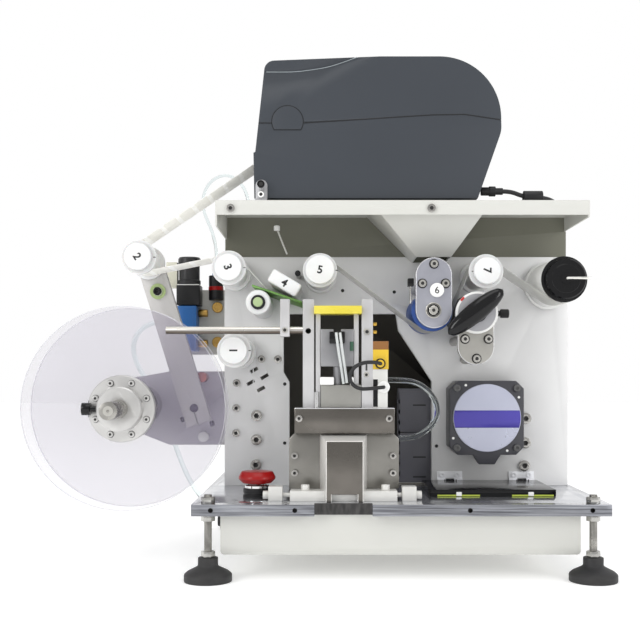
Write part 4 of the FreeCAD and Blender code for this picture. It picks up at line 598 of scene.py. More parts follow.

# Cabinet and shelf
# Cream sheet metal behind the panel, and the shelf over it with its lip, side walls and
# the hopper-shaped bracket in the middle. The wall under the shelf is painted a dark olive
# as the shade that the shelf casts on it.
cabinet = broken_edges("rear_cabinet", 0.0005, cream_coat)
cabinet_painted_shade = finish("cabinet_painted_shade", (104, 101, 95), 0.6, grain=(420, 0.06))
# Painted shade: a dark sheet behind the slot, and the cabinet's front-facing inside faces painted dark,
# stand for the shade inside the cabinet.
boxed("slot_shade_sheet", (-118, -88.6), (-13.4, -12.1), (100, 152), cabinet_painted_shade, FRAME,
      "black_plastic", 0.3)
paint(cabinet, cabinet_painted_shade, lambda x, forward, z, normal: normal.y < -0.8 and x < 240)
# Painted shade: the front-facing wall under the shelf is painted dark olive as the shelf's shade on it.
shelf_wall_painted_shade = finish("shelf_wall_painted_shade", (114, 114, 100), 0.5, grain=(420, 0.06),
                    second=(106, 106, 93), marks=8)
shelf = broken_edges("printer_shelf", 0.0006, cream_coat)
paint(shelf, shelf_wall_painted_shade, lambda x, forward, z, normal: normal.y < -0.8 and forward < 4)
rod_grey = finish("rod_grey", (214, 214, 208), 0.3, metal=0.6)
white_nylon = finish("white_nylon", (240, 240, 238), 0.38, grain=(700, 0.05),
                     second=(231, 231, 229), marks=40)
tube("hood_rod", [(-57, 30, 303.3), (-53, 30, 292), (-45.5, 30, 274)], 1.1, rod_grey, FRAME,
     "steel")
turned("hood_rod_head", [(3.6, 0), (3.6, 5), (2.6, 6)], (-57.5, 30, 301.5), white_nylon, FRAME,
       "white_nylon", toward="up", sides=24)

# Printer
# Slate-grey moulded case with a fine spark-eroded texture, its lid with a swept groove and a
# pale painted highlight along it, the dark seams round its lid and latch button, and the
# clamp tab's two screws.
slate_moulding = finish("slate_moulding", (50, 55, 62), 0.46, grain=(1700, 0.1),
                        second=(46, 51, 58), marks=6, rough_spread=0.05)
label_paper = finish("label_paper", (240, 240, 237), 0.55, grain=(1200, 0.06))
broken_edges("printer_base", 0.003, slate_moulding, 4)
lid = broken_edges("printer_lid", 0.006, slate_moulding, 5)
groove_line = [(-80, 466.7), (-52, 466.7), (-35.3, 466.7), (-16.5, 468.9), (3.3, 472.2),
               (23.1, 478.8), (46, 488)]
groove = tube("lid_groove_tool", [(x, 98, z) for x, z in groove_line], 0.8, slate_moulding,
              body_of("printer_lid"), "printer_plastic")
cut = lid.modifiers.new("groove", "BOOLEAN")
cut.operation = "DIFFERENCE"
cut.solver = "EXACT"
cut.object = groove
pick(lid)
bpy.ops.object.modifier_apply(modifier="groove")
bpy.data.objects.remove(groove)
# Painted highlight: a thin pale tube in the groove stands for the light caught along it.
groove_painted_highlight = finish("groove_painted_highlight", (148, 156, 160), 0.4)
groove_seen = [(-66, 466.7)] + groove_line[1:-1] + [(34, 483)]
tube("lid_groove_highlight", [(x, 97.7, z) for x, z in groove_seen], 0.45, groove_painted_highlight,
     body_of("printer_lid"), "printer_plastic")
seam_black = finish("seam_black", (12, 13, 16), 0.6)
SEAM_Z = 410.5
tube("seam_left", [(-74.4, 97.8, SEAM_Z), (-59.8, 97.8, SEAM_Z)], 0.65, seam_black, FRAME,
     "printer_plastic", smooth=False)
tube("seam_right", [(-25, 97.8, SEAM_Z), (118, 97.8, SEAM_Z + 9), (153, 97.8, SEAM_Z + 9.5),
                    (192.2, 97.8, SEAM_Z + 3.6)], 0.65, seam_black, FRAME, "printer_plastic",
     smooth=False)
ring = [(-42.4 + 17.3 * math.cos(math.radians(angle)), 97.9,
         SEAM_Z + 1.7 + 17.3 * math.sin(math.radians(angle))) for angle in range(-32, 213, 4)]
tube("latch_outline", ring + ring[:1], 0.6, seam_black, FRAME, "printer_plastic", smooth=False)
broken_edges("latch_button", 0.0008, slate_moulding, 3)
broken_edges("label_roll", 0.0006, label_paper)
broken_edges("printer_plug", 0.0006, black_moulding)
screw_head("clamp_screw", 4.2, (-71, 108, 341), FRAME, gloss_black, 3.2)
screw_head("clamp_foot_screw", 3.4, (-71, 108, 330), FRAME, white_nylon, 1.6)

# Unwinder
# Two translucent white acrylic discs on a steel shaft, with a turned hub ring, cap screws
# in grey rings of painted shade round their heads and a black thumb screw.
frosted = finish("frosted_acrylic", (150, 142, 166), 0.2, grain=(500, 0.03),
                 second=(142, 134, 158), Alpha=0.11)
disc_rim = finish("disc_rim", (226, 226, 232), 0.2, Alpha=0.5)
dark_grey_and_shade = finish("dark_grey_and_shade", (92, 92, 92), 0.5)
satin_aluminium = finish("satin_aluminium", (188, 188, 190), 0.3, metal=0.95,
                         brush=((40, 900, 900), 0.1), second=(160, 160, 162), marks=40)
hub_bright = finish("hub_bright", (202, 201, 199), 0.3, metal=0.6,
                    brush=((40, 900, 900), 0.1), second=(178, 177, 176), marks=40)
arm_metal = finish("arm_metal", (186, 184, 188), 0.42, metal=0.25, grain=(900, 0.12),
                   second=(176, 174, 179), marks=14)
shaft_bright = finish("shaft_bright", (172, 170, 165), 0.24, metal=0.9,
                      second=(132, 130, 126), marks=(40, 90, 40))
for disc in ("rear_disc", "front_disc"):
    paint(broken_edges(disc, 0.0006, frosted), disc_rim, lambda x, forward, z, normal: math.hypot(
        x + 223, z - 96) > 111.5)
broken_edges("reel_shaft", 0.0006, shaft_bright)
hub = broken_edges("front_hub", 0.0008, hub_bright)
paint(hub, gloss_black, lambda x, forward, z, normal: x < -247.8 and abs(z - 96) < 9)
screw_metal = finish("screw_metal", (206, 204, 198), 0.24, metal=1.0, second=(182, 180, 174),
                     marks=60)
for index in range(8):
    angle = math.radians(22.5 + 45 * index)
    # Painted shade: a thin grey ring round each hub screw stands for the shade round its head.
    turned("hub_seat_%d" % index, [(3.9, 0), (3.9, 0.2), (3.2, 0.3)],
           (-223 + 30 * math.cos(angle), 111.8, 96 + 30 * math.sin(angle)), dark_grey_and_shade,
           body_of("front_hub"), "black_plastic", sides=28)
    screw_head("hub_screw_%d" % index, 3.1, (-223 + 30 * math.cos(angle), 111.8,
                                            96 + 30 * math.sin(angle)),
               body_of("front_hub"), screw_metal, 2.4)
turned("reel_shaft_centre", [(5.2, 0), (5.2, 0.5), (1.6, 0.5), (1.2, -1.5)], (-223, 177.9, 96),
       screw_metal, body_of("reel_shaft"), "steel", sides=32)
broken_edges("arm_plate", 0.0008, arm_metal)

# Dancer
# A flat aluminium arm clamped on its pivot, with a pale green washer and a dark screw in a
# white ring near its top.
pale_green = finish("pale_green_washer", (164, 184, 126), 0.4)
dark_screw = finish("dark_screw", (44, 44, 47), 0.34, metal=0.6)
# Painted shade: thin dark boxes set in slits and gaps stand for the shade inside them.
slit_painted_shade = finish("slit_painted_shade", (60, 60, 60), 0.6)
ARM = body_of("dancer_arm")
dancer_metal = finish("dancer_metal", (196, 194, 192), 0.42, metal=0.25, grain=(900, 0.12),
                      second=(188, 186, 184), marks=14)
dancer = broken_edges("dancer_arm", 0.0008, dancer_metal)
paint(dancer, gloss_black, lambda x, forward, z, normal: forward > 29.5
      and math.hypot(x + 196.85, z - 230.5) < 5)
boxed("dancer_foot", (-166.7, -137.1), (15.2, 27.2), (74.8, 94.2), dancer_metal, ARM,
      "panel_aluminium", 0.6, turn=-17.1)
turned("dancer_pivot", [(5, 0), (5, 0.5), (4.5, 0.8)], (-154.8, 27, 93.8), dark_screw, ARM,
       "steel", sides=36)
# The pivot clamp's slit is a thin dark box of painted shade.
boxed("dancer_slit", (-152.9, -151.9), (26.6, 27.45), (75.4, 89.6), slit_painted_shade, ARM,
      "black_plastic", 0.1, 1, turn=-17.1)
for index, spot in enumerate(((-168.6, 80.4), (-134.2, 75.6))):
    boxed("dancer_clamp_%d" % index, (spot[0] - 2.6, spot[0] + 2.6), (17.5, 24.5),
          (spot[1] - 3, spot[1] + 3), gloss_black, ARM, "steel", 1.2, 3, turn=-17.1)
turned("dancer_washer_green", [(9.2, 0), (9.2, 1.0), (8.8, 1.3), (5.2, 1.3), (5.2, 0.4)],
       (-196.85, 28.9, 230.5), pale_green, ARM, "white_nylon")
turned("dancer_washer_ring", [(5.2, 0), (5.2, 1.6), (4.8, 1.9), (3.2, 1.9), (3.2, 0.8)],
       (-196.85, 29, 230.5), white_nylon, ARM, "white_nylon")
screw_head("dancer_screw", 3.3, (-196.85, 29, 230.5), ARM, gloss_black, 2.4)

# Guide rollers
# Turned white nylon rollers: a split collar at each end with a thin dark box of painted shade
# in its slit, a neck painted dark grey as the shade between cap and collar, and a numbered cap.
nylon = finish("turned_nylon", (230, 230, 230), 0.36, turns=((0, 420, 0), 0.06),
               second=(221, 221, 220), marks=40, Subsurface_Weight=0.04)
ink_black = finish("ink_black", (26, 26, 28), 0.5)
FACE = Matrix.Rotation(math.radians(90), 4, "X")


def numeral(name, sign, high, place, clockwise, body, bold=0.35):
    """A printed figure on a cap's face, turned clockwise by some degrees."""
    bpy.ops.object.select_all(action="DESELECT")
    bpy.ops.object.text_add(location=(0, 0, 0))
    text = bpy.context.object
    text.data.body = sign
    text.data.size = high * 1.42 * MM
    text.data.extrude = 0.08 * MM
    text.data.offset = bold * MM
    text.data.align_x, text.data.align_y = "CENTER", "CENTER"
    bpy.ops.object.convert(target="MESH")
    figure = bpy.context.object
    figure.name = name
    middle = sum((Vector(corner) for corner in figure.bound_box), Vector()) / 8
    figure.data.transform(Matrix.Translation(at(*place)) @ FACE
                          @ Matrix.Rotation(math.radians(-clockwise), 4, "Z")
                          @ Matrix.Translation(-middle))
    return settle(figure, ink_black, body, "black_plastic")


def guide_roller(name, centre, rear, radius, sign, clockwise):
    node = "roller_" + name
    body = body_of(node)
    collar, neck, cap = 19.0, radius - 4.2, radius
    profile = [(collar - 0.5, rear), (collar, rear + 0.5), (collar, rear + 5.5),
               (collar - 0.5, rear + 6), (radius + 0.2, rear + 6), (radius, rear + 6.4),
               (radius, 88.6), (radius + 0.2, 89), (collar - 0.5, 89), (collar, 89.5),
               (collar, 94.5), (collar - 0.6, 95), (neck, 95), (neck, 99.2), (cap - 0.4, 99.2),
               (cap, 99.6), (cap, 103.2), (cap - 0.8, 104)]
    piece = turned(node + "_turned", profile, (centre[0], 0, centre[1]), nylon, body,
                   SLOTS[node], node)
    # Painted shade: the neck between collar and cap is painted dark grey as the shade there.
    paint(piece, dark_grey_and_shade, lambda x, forward, z, normal: 94.9 < forward < 99.3
          and math.hypot(x - centre[0], z - centre[1]) < radius - 1.5)
    side = -1 if centre[0] > 0 else 1
    # The collar's slit is a thin dark box of painted shade.
    boxed(node + "_slit", (centre[0] + side * (radius + 1), centre[0] + side * (radius + 1) + 2.6),
          (89.6, 95.2), (centre[1] - 0.45, centre[1] + 0.45), slit_painted_shade, body, "black_plastic",
          0.1, 1)
    if sign:
        numeral(node + "_figure", sign, 8.4, (centre[0], 104.06, centre[1]), clockwise, body)


guide_roller("one", (-101.6, 159.8), 14, 15, "1", 90)
guide_roller("two", (-206.85, 262.98), 30.3, 15, "2", 60)
guide_roller("three", (-107.5, 251.4), 14, 15, "3", 70)
guide_roller("five", (-6.6, 248.5), 14, 16, "5", 10)
guide_roller("seven", (177, 247.4), 14, 15, "7", 90)
GUIDE = body_of("guide_roller")
pale_core = finish("pale_core", (172, 192, 142), 0.4)
turned("guide_roller_turned", [(13.5, 14), (13.9, 14.5), (13.9, 92.4), (12.7, 94), (8.2, 94),
                               (8.2, 92)], (-75.2, 0, 213.3), nylon, GUIDE, "white_nylon",
       "guide_roller")
axles = broken_edges("roller_axles", 0.0004, bright_steel)
paint(axles, dark_screw, lambda x, forward, z, normal: math.hypot(x + 75.2, z - 213.3) < 11.5)
turned("guide_core", [(5.4, 0), (5.4, 1.6), (4.8, 2.2)], (-75.2, 95.9, 213.3), pale_core,
       body_of("roller_axles"), "green_plastic", sides=32)
broken_edges("guide_block", 0.0024, nylon, 4)
numeral("guide_block_figure", "4", 8.4, (-45.7, 100.06, 234.5), 31, body_of("guide_block"))
screw_head("block_screw_head", 3.4, (-32.7, 39.5, 250.5), body_of("roller_axles"), dark_screw, 2.4)
green_plate = finish("green_plate", (108, 156, 72), 0.4, grain=(600, 0.08),
                     second=(86, 130, 58), marks=90)
broken_edges("peel_plate", 0.0004, green_plate)

# Nip unit
# Two round-ended front plates on posts, with black-ringed cap screws, bearing rings, a
# white dial with a red mark, and a glossy black spindle-shaped lever. The driven roller
# is blue rubber.
blue_rubber = finish("blue_rubber", (28, 74, 152), 0.42, grain=(800, 0.12))
plate_blue = finish("plate_blue", (166, 167, 176), 0.32, metal=0.55,
                    brush=((40, 900, 900), 0.08), second=(150, 151, 160), marks=30)
plate_warm = finish("plate_warm", (168, 166, 160), 0.32, metal=0.55,
                    brush=((40, 900, 900), 0.08), second=(154, 152, 147), marks=30)
rim_painted_highlight = finish("rim_painted_highlight", (226, 226, 228), 0.22, metal=0.7)
red_mark = finish("red_mark", (200, 40, 34), 0.4)
NIP = body_of("nip_plates")
plates = broken_edges("nip_plates", 0.0014, plate_blue, 3)
paint(plates, plate_warm, lambda x, forward, z, normal: x > 142)
# Painted highlight: the plates' bevelled front edges are painted bright as the light they catch.
paint(plates, rim_painted_highlight, lambda x, forward, z, normal: forward > 91 and 0.25 < -normal.y < 0.97)
paint(plates, white_nylon, lambda x, forward, z, normal: forward > 100.05)
for index, spot in enumerate(((118.8, 255), (106, 233.5), (131.5, 233.5), (152.8, 172.4),
                              (178.6, 172.4), (165.6, 150.8))):
    turned("nip_ring_%d" % index, [(5.4, 0), (5.4, 0.5), (5.0, 0.8), (3.6, 0.8), (3.6, 0.2)],
           (spot[0], 100, spot[1]), gloss_black, NIP, "black_plastic", sides=32)
    screw_head("nip_screw_%d" % index, 3.5, (spot[0], 100, spot[1]), NIP, screw_metal, 3.6)
turned("bearing_ring", [(8.8, 0), (8.8, 0.8), (8.2, 1.2), (6.6, 1.2), (6.6, 0.3), (5.0, 0.3),
                        (5.0, 2.0), (4.4, 2.4)], (118.3, 100, 204), screw_metal, NIP, "steel")
turned("bearing_dark", [(7.6, 0), (7.6, 1.4), (6.9, 1.4), (6.9, 0.4)], (118.3, 100, 204),
       gloss_black, NIP, "black_plastic")
# The bearing's socket is a dark peg of painted shade.
turned("bearing_socket", [(1.9, 0), (1.9, 2.5), (1.5, 2.7)], (118.3, 100, 204), socket_painted_shade,
       NIP, "black_plastic", sides=24)
numeral("nip_figure", "6", 7.4, (121.8, 104.06, 226), 0, NIP, 0.1)
dial_grey = finish("dial_grey", (172, 172, 176), 0.4, metal=0.3, second=(150, 150, 154))
turned("dial_face", [(20.6, 0), (20.6, 0.3), (11.2, 0.3), (11.2, 0.1)], (165, 107.9, 201),
       dial_grey, NIP, "steel")
turned("dial_rim", [(23, 0), (23, 7.4), (22.4, 8.1), (20.8, 8.1), (20.6, 7.6)], (165, 100.1, 201),
       white_nylon, NIP, "white_nylon")
boxed("dial_mark", (146.5, 151.5), (107.6, 108.6), (214.6, 217), red_mark, NIP, "red_plastic",
      0.2, 1, turn=-45)
LEVER = body_of("nip_lever")
lean = math.radians(39)
spindle = Matrix.Rotation(math.radians(90) - lean, 4, "Y")
half = 38.0
outline = [(0.6, -half)] + [(10.75 * math.sqrt(1 - (step / 12) ** 2) ** 0.9 + 0.3,
                             half * step / 12) for step in range(-11, 12)] + [(0.6, half)]
lever = turned("nip_lever_turned", outline, (162, 118, 201), gloss_black, LEVER,
               SLOTS["nip_lever"], "nip_lever", toward=spindle, sides=40)
for corner in lever.data.vertices:
    middle = at(162, 118, 201).y
    corner.co.y = middle + (corner.co.y - middle) * 0.72
turned("nip_lever_hub", [(10.7, 0), (10.7, 7), (9.5, 9)], (165, 104.2, 201), gloss_black, LEVER,
       "black_plastic")
for index, step in enumerate((-1, 1)):
    screw_head("lever_screw_%d" % index, 1.9, (162 + step * 8 * math.cos(lean), 124.6,
                                              201 + step * 8 * math.sin(lean)), LEVER,
               dark_screw, 0.9)
turned("adjust_washer", [(5, 0), (5, 1.8), (4.6, 2.1)], (185.2, 96, 200.6), white_nylon, NIP,
       "white_nylon", toward="right", sides=32)
turned("adjust_screw", [(3, 1.5), (3, 7), (4.6, 7.2), (4.9, 7.8), (4.9, 15.6), (4.3, 16.4)],
       (185.2, 96, 200.6), finish("knurled_black", (22, 22, 24), 0.35, turns=((0, 0, 900), 0.7)),
       NIP, "black_plastic", toward="right", sides=32)
boxed("web_finger", (93, 94.6), (84, 92), (212, 238), bright_steel, NIP, "steel", 0.3)
boxed("web_finger_clamp", (90.6, 97.4), (80, 93), (231, 240), gloss_black, NIP,
      "black_plastic", 1.0, 2)
broken_edges("drive_roller", 0.0006, blue_rubber)
broken_edges("pinch_roller", 0.0006, pad_rubber)

# Web
# The printed label stock, grey-white with a clear gap between labels, and past the peel
# plate only its thin translucent backing.
# Painted light: the label stock has a faint emission, a glow that brightens it as light would.
web_stock_painted_glow = finish("web_stock_painted_glow", (240, 239, 233), 0.5, second=(233, 232, 226), marks=20,
                   bands=((11.4, 0, 9.6), 0.12, (254, 254, 252)), Alpha=0.9,
                   Emission_Color=(1.0, 0.99, 0.96, 1), Emission_Strength=0.17)
backing = finish("web_backing", (226, 226, 220), 0.32, second=(214, 214, 208), marks=14,
                 Alpha=0.5)
web = broken_edges("label_web", 0.00002, web_stock_painted_glow)
paint(web, backing, lambda x, forward, z, normal: x > -60 and z < 330)
broken_edges("label_web_loop", 0.00002, web_stock_painted_glow)

# Take-up
# A ringed white nylon drum with a glossy black cap, and a bent bright wire clip.
ringed = finish("ringed_nylon", (236, 236, 234), 0.36, turns=((0, 90, 0), 0.35),
                second=(224, 224, 222), marks=30)
drum = broken_edges("take_up_drum", 0.0008, ringed)
paint(drum, gloss_black, lambda x, forward, z, normal: forward > 90.2)
DRUM = body_of("take_up_drum")
turned("take_up_cap", [(25.6, 88.6), (25.6, 90.4), (22.6, 90.6), (22.6, 98.6), (21.2, 100.2),
                       (16, 100.2), (15.6, 100.5), (6.4, 100.5), (6, 101.2), (5, 101.2)],
       (264.5, 0, 239), gloss_black, DRUM, "black_plastic")
wire_bright = finish("wire_bright", (232, 231, 226), 0.12, metal=1.0)
broken_edges("take_up_clip", 0.0002, wire_bright)

# Motor
# A square black stepping motor with corner screws, and a silver disc with a violet band on
# its front.
black_paint = finish("black_paint", (62, 62, 68), 0.34, grain=(700, 0.08))
disc_silver = finish("disc_silver", (190, 193, 210), 0.26, metal=0.3, second=(182, 185, 203))
disc_violet = finish("disc_violet", (76, 66, 170), 0.35)
MOTOR = body_of("step_motor")
broken_edges("step_motor", 0.0016, black_paint, 3)
turned("motor_disc", [(39.4, 0), (39.4, 1.6), (38.8, 2.0)], (187, 38, 82.8), disc_silver, MOTOR,
       "steel", sides=96)


def band(name, low, high, place, radius, thick, material, body, slot):
    """The part of a flat disc between two levels, cut from a full one by two bisections."""
    piece = turned(name, [(radius, 0), (radius, thick)], place, material, body, slot, sides=96)
    pick(piece)
    bpy.ops.object.mode_set(mode="EDIT")
    for level, outer in ((low, False), (high, True)):
        bpy.ops.mesh.select_all(action="SELECT")
        bpy.ops.mesh.bisect(plane_co=at(0, 0, level), plane_no=(0, 0, 1), use_fill=True,
                            clear_inner=not outer, clear_outer=outer)
    bpy.ops.object.mode_set(mode="OBJECT")
    return piece


band("motor_band", 71.5, 91.6, (187, 39.9, 82.8), 38.7, 0.3, disc_violet, MOTOR, "black_plastic")
for index, spot in enumerate(((162.4, 120.8), (224.1, 106.8), (147.8, 59.2), (210.5, 44.8))):
    turned("motor_dot_%d" % index, [(1.5, 0), (1.5, 0.6), (1.2, 0.8)], (spot[0], 37.9, spot[1]),
           white_nylon, MOTOR, "white_nylon", sides=20)
boxed("motor_tail", (179.4, 194.8), (22, 37), (29.4, 40.6), black_paint, MOTOR, "black_paint",
      0.8, top=1.98)
broken_edges("motor_shaft", 0.0004, bright_steel)
broken_edges("drive_belt", 0.0002, pad_rubber)

# Cover flap
# Two bright hinges with the slits between their knuckles drawn as thin dark boxes of painted
# shade, and a glossy black flap with green strips and white catches on its front edge.
leaf_bright = finish("leaf_bright", (248, 249, 252), 0.3, metal=0.1, second=(240, 241, 245))
broken_edges("hinge_leaves", 0.0003, leaf_bright)
for index, centre in enumerate((148, 234)):
    for side in (-1, 0, 1):
        spot = centre + side * 6.8
        boxed("knuckle_gap_%d_%d" % (index, side), (spot - 0.35, spot + 0.35), (8.2, 12.2),
              (1.6, 8.4), slit_painted_shade, body_of("hinge_leaves"), "steel", 0.1, 1)
broken_edges("cover_flap", 0.0014, gloss_black, 3)
FLAP = body_of("cover_flap")
strip_green = finish("strip_green", (176, 190, 70), 0.4)
for index, pair in enumerate(((121.5, 168), (203, 248.5))):
    boxed("flap_strip_%d" % index, pair, (108.4, 109.5), (0.4, 2.2), strip_green, FLAP,
          "green_plastic", 0.2, 1)
for index, x in enumerate((145.1, 223.7)):
    boxed("flap_catch_%d" % index, (x - 3, x + 3), (108.2, 110.4), (0.8, 5.2), white_nylon, FLAP,
          "white_nylon", 0.6)

# Emergency stop
# A red mushroom head on a chromed ring and a black base.
signal_red = finish("signal_red", (152, 8, 7), 0.3, Coat_Weight=0.12,
                    Specular_IOR_Level=0.3)
chrome = finish("chrome", (214, 214, 214), 0.08, metal=1.0)
STOP = body_of("stop_base")
turned("stop_base_turned", [(15.4, 0), (15.4, 2.6), (14.2, 2.9), (14.2, 5), (15, 5.3),
                            (15, 9.5), (13.4, 9.8)],
       (-75, 112, 0.1), black_moulding, STOP, SLOTS["stop_base"], "stop_base", toward="up")
turned("stop_ring", [(12.5, 9.8), (13.1, 10.4), (13.1, 12.8), (12.5, 13.5), (10.4, 13.7),
                     (10.2, 10)], (-75, 112, 0.1), chrome, STOP, "steel", toward="up")
turned("stop_button_turned", [(8.6, 14.5), (9, 20.6), (13.6, 20.6), (13.8, 15.8), (15.6, 15.8),
                              (19.2, 19.2), (20, 20.4), (20, 22.6), (19.4, 23.6), (17.4, 27.4),
                              (16.4, 28.2), (13, 28.6), (6, 28.8)], (-75, 112, 0), signal_red,
       body_of("stop_button"), SLOTS["stop_button"], "stop_button", toward="up")

# Folding unit
# A stainless bracket with a folded cover, two aluminium guide posts, an air cylinder with
# its grey head, a yellow pad, small clear tubes and the yellow label sensor.
stainless = finish("stainless_sheet", (112, 108, 103), 0.24, metal=1.0,
                   brush=((700, 700, 12), 0.14), second=(90, 87, 82), marks=24)
machined = finish("machined_aluminium", (196, 195, 196), 0.34, metal=0.4,
                  brush=((900, 900, 80), 0.08), second=(187, 187, 188), marks=50)
FOLD = body_of("folding_plates")
bar_light = finish("bar_light", (222, 221, 217), 0.36, metal=0.3, second=(212, 211, 207))
plate_light = finish("plate_light", (136, 134, 129), 0.3, metal=0.8, second=(118, 116, 111),
                     brush=((700, 700, 12), 0.14), marks=24)
cover_edge_painted_highlight = finish("cover_edge_painted_highlight", (230, 228, 224), 0.3, metal=0.3, second=(214, 212, 208))
broken_edges("folding_base_bar", 0.0008, bar_light)
fold_plates = broken_edges("folding_plates", 0.0010, stainless)
# Painted highlight: the plates' upward faces above 96 mm are painted bright as the light from above.
paint(fold_plates, rim_painted_highlight, lambda x, forward, z, normal: normal.z > 0.3 and z > 96)
paint(fold_plates, plate_light, lambda x, forward, z, normal: z < 70.9)
fold_cover = broken_edges("folding_cover", 0.0010, stainless, 3)
# Painted highlight: the cover's side and upward faces are painted pale as the light on them, against
# its darker front.
paint(fold_cover, cover_edge_painted_highlight, lambda x, forward, z, normal: abs(normal.x) > 0.2
      or normal.z > 0.2)
posts = broken_edges("guide_posts", 0.0008, machined)
broken_edges("air_cylinder", 0.0006, machined)
head_grey = finish("head_grey", (150, 150, 152), 0.34, metal=0.6, second=(134, 134, 137),
                   marks=40)
rod_steel = finish("rod_steel", (176, 173, 168), 0.26, metal=0.7, second=(156, 153, 149))
rod_top_painted_highlight = finish("rod_top_painted_highlight", (232, 228, 220), 0.22, metal=0.6)
rod_underside_painted_shade = finish("rod_underside_painted_shade", (104, 96, 88), 0.26, metal=0.8)
# The guide rod is painted light on top as a painted highlight, plain steel at its sides and dark
# underneath as painted shade.
for material, rise in ((rod_top_painted_highlight, 2), (rod_steel, 0.25), (rod_underside_painted_shade, -0.2)):
    paint(posts, material, lambda x, forward, z, normal: x < -24.9 and 176 < z < 186
          and normal.z < rise)
HEAD = body_of("press_head")
broken_edges("press_head", 0.0008, head_grey)
yellow_pad = finish("yellow_pad", (212, 196, 56), 0.26, grain=(160, 0.1), second=(226, 214, 96),
                    marks=22)
broken_edges("press_pad", 0.0008, yellow_pad)
broken_edges("rod_guide", 0.0006, machined)
screw_head("holder_screw", 3.1, (-44, 131.9, 180.8), body_of("rod_guide"), screw_metal, 1.4)
POST = body_of("guide_posts")
# Painted shade: the post's hole is a black disc standing for the shade inside it.
turned("post_hole", [(3, 0), (3, 0.3), (2.4, 0.3), (2.2, 0.1)], (-19, 129.9, 180), gloss_black,
       POST, "black_plastic", sides=28)
screw_head("post_screw", 3.4, (43.8, 129.9, 179), POST, screw_metal, 1.8)
screw_head("post_screw_low", 2.8, (43.2, 129.9, 133.1), POST, screw_metal, 1.2)
# The post's slot is a thin dark box of painted shade.
boxed("post_slot_shade", (42.3, 44.3), (129.7, 130.2), (137.6, 146.5), slit_painted_shade, POST,
      "black_plastic", 0.2, 1)
# Painted shade: a black strip in the gap by the hose stand stands for the shade in it.
boxed("hose_stand_gap_shade", (50.4, 55.4), (129.8, 130.3), (98.8, 128.2), gloss_black, POST,
      "black_plastic", 0.2, 1)
boxed("head_clevis", (3.7, 20.2), (129, 134), (166.6, 179.3), gloss_black, HEAD,
      "black_plastic", 0.8)
block_grey = finish("block_grey", (154, 153, 148), 0.4, metal=0.3, second=(142, 141, 136))
boxed("cylinder_face", (-5.6, 37.6), (118, 131), (98.2, 122.2), block_grey, POST,
      "panel_aluminium", 0.8)
dark_green = finish("dark_green_tube", (40, 84, 62), 0.3)
boxed("head_cross", (-6.5, 8.6), (126, 134), (122.3, 130.7), white_nylon, POST, "white_nylon",
      1.2, 3)
boxed("head_stop", (25.5, 29.6), (126, 134), (122.3, 130.7), white_nylon, POST, "white_nylon",
      1.0, 2)
milky_tube = finish("milky_tube", (226, 230, 229), 0.12, Alpha=0.72)
tube("head_tube_left", [(18.6, 135.4, 123.5), (17, 136.4, 136), (14.6, 137, 150),
                        (12.4, 137, 164), (10.8, 136, 178)], 1.5, milky_tube, HEAD)
tube("head_tube_right", [(22.2, 135.4, 124.5), (20.8, 136.4, 136), (18.6, 137, 150),
                         (16.6, 137, 164), (14.9, 136, 178)], 1.5, milky_tube, HEAD)
tube("head_green_bit", [(27.6, 130, 158.8), (27.6, 130, 168.5)], 2.0, dark_green, HEAD,
     "green_plastic", smooth=False)
tube("bracket_rod", [(-10.2, 130, 98.3), (-10.2, 130, 114.5)], 2.8, chrome, POST, "steel",
     smooth=False)
for index, spot in enumerate(((-28.6, 86.6), (66.8, 86.6))):
    screw_head("bracket_screw_%d" % index, 3.6, (spot[0], 139.9, spot[1]), FOLD, screw_metal, 2.0)
sensor_yellow = finish("sensor_yellow", (226, 188, 48), 0.32)
amber = finish("amber_window", (140, 92, 40), 0.14, Coat_Weight=0.6)
hose_stand = finish("hose_stand_white", (228, 228, 224), 0.34)
SENSOR = body_of("label_sensor")
sensor = broken_edges("label_sensor", 0.0010, sensor_yellow, 3)
paint(sensor, amber, lambda x, forward, z, normal: z > 160.2)
paint(sensor, hose_stand, lambda x, forward, z, normal: z < 138.9)
turned("sensor_gland", [(5.6, 0), (5.6, 3.6), (4.4, 5), (2.6, 5.8)], (58, 130, 145),
       gloss_black, SENSOR, "black_plastic", sides=28)
turned("hose_head_ring", [(6.4, 0), (6.4, 1.2), (5.6, 1.8), (3, 1.8)], (61.3, 136.6, 120),
       white_nylon, SENSOR, "white_nylon", sides=36)
gold = finish("gold_contact", (206, 166, 74), 0.25, metal=1.0)
for index, z in enumerate((187.5, 179)):
    boxed("gold_contact_%d" % index, (50.6, 54.4), (118, 127), (z - 1.7, z + 1.7), gold, POST,
          "steel", 0.3)

# Cable duct
# Grey slotted modules in the opening behind the folding unit.
duct_grey = finish("duct_grey", (90, 90, 97), 0.42, grain=(900, 0.08))
broken_edges("cable_duct", 0.0006, duct_grey)
DUCT = body_of("cable_duct")
boxed("duct_cover", (90, 129), (-14, -13), (3, 62.4), duct_grey, DUCT, "black_plastic", 0.4)
boxed("duct_module", (90, 129), (-14, -12.9), (63.6, 113), duct_grey, DUCT, "black_plastic", 0.4)
# Painted shade: the duct's slots are black strips standing for the shade inside them.
for index, z in enumerate((33, 9, 96)):
    boxed("duct_slot_%d" % index, (105.5, 121), (-13.1, -12.7), (z - 0.9, z + 0.9), ink_black,
          DUCT, "black_plastic", 0.1, 1)

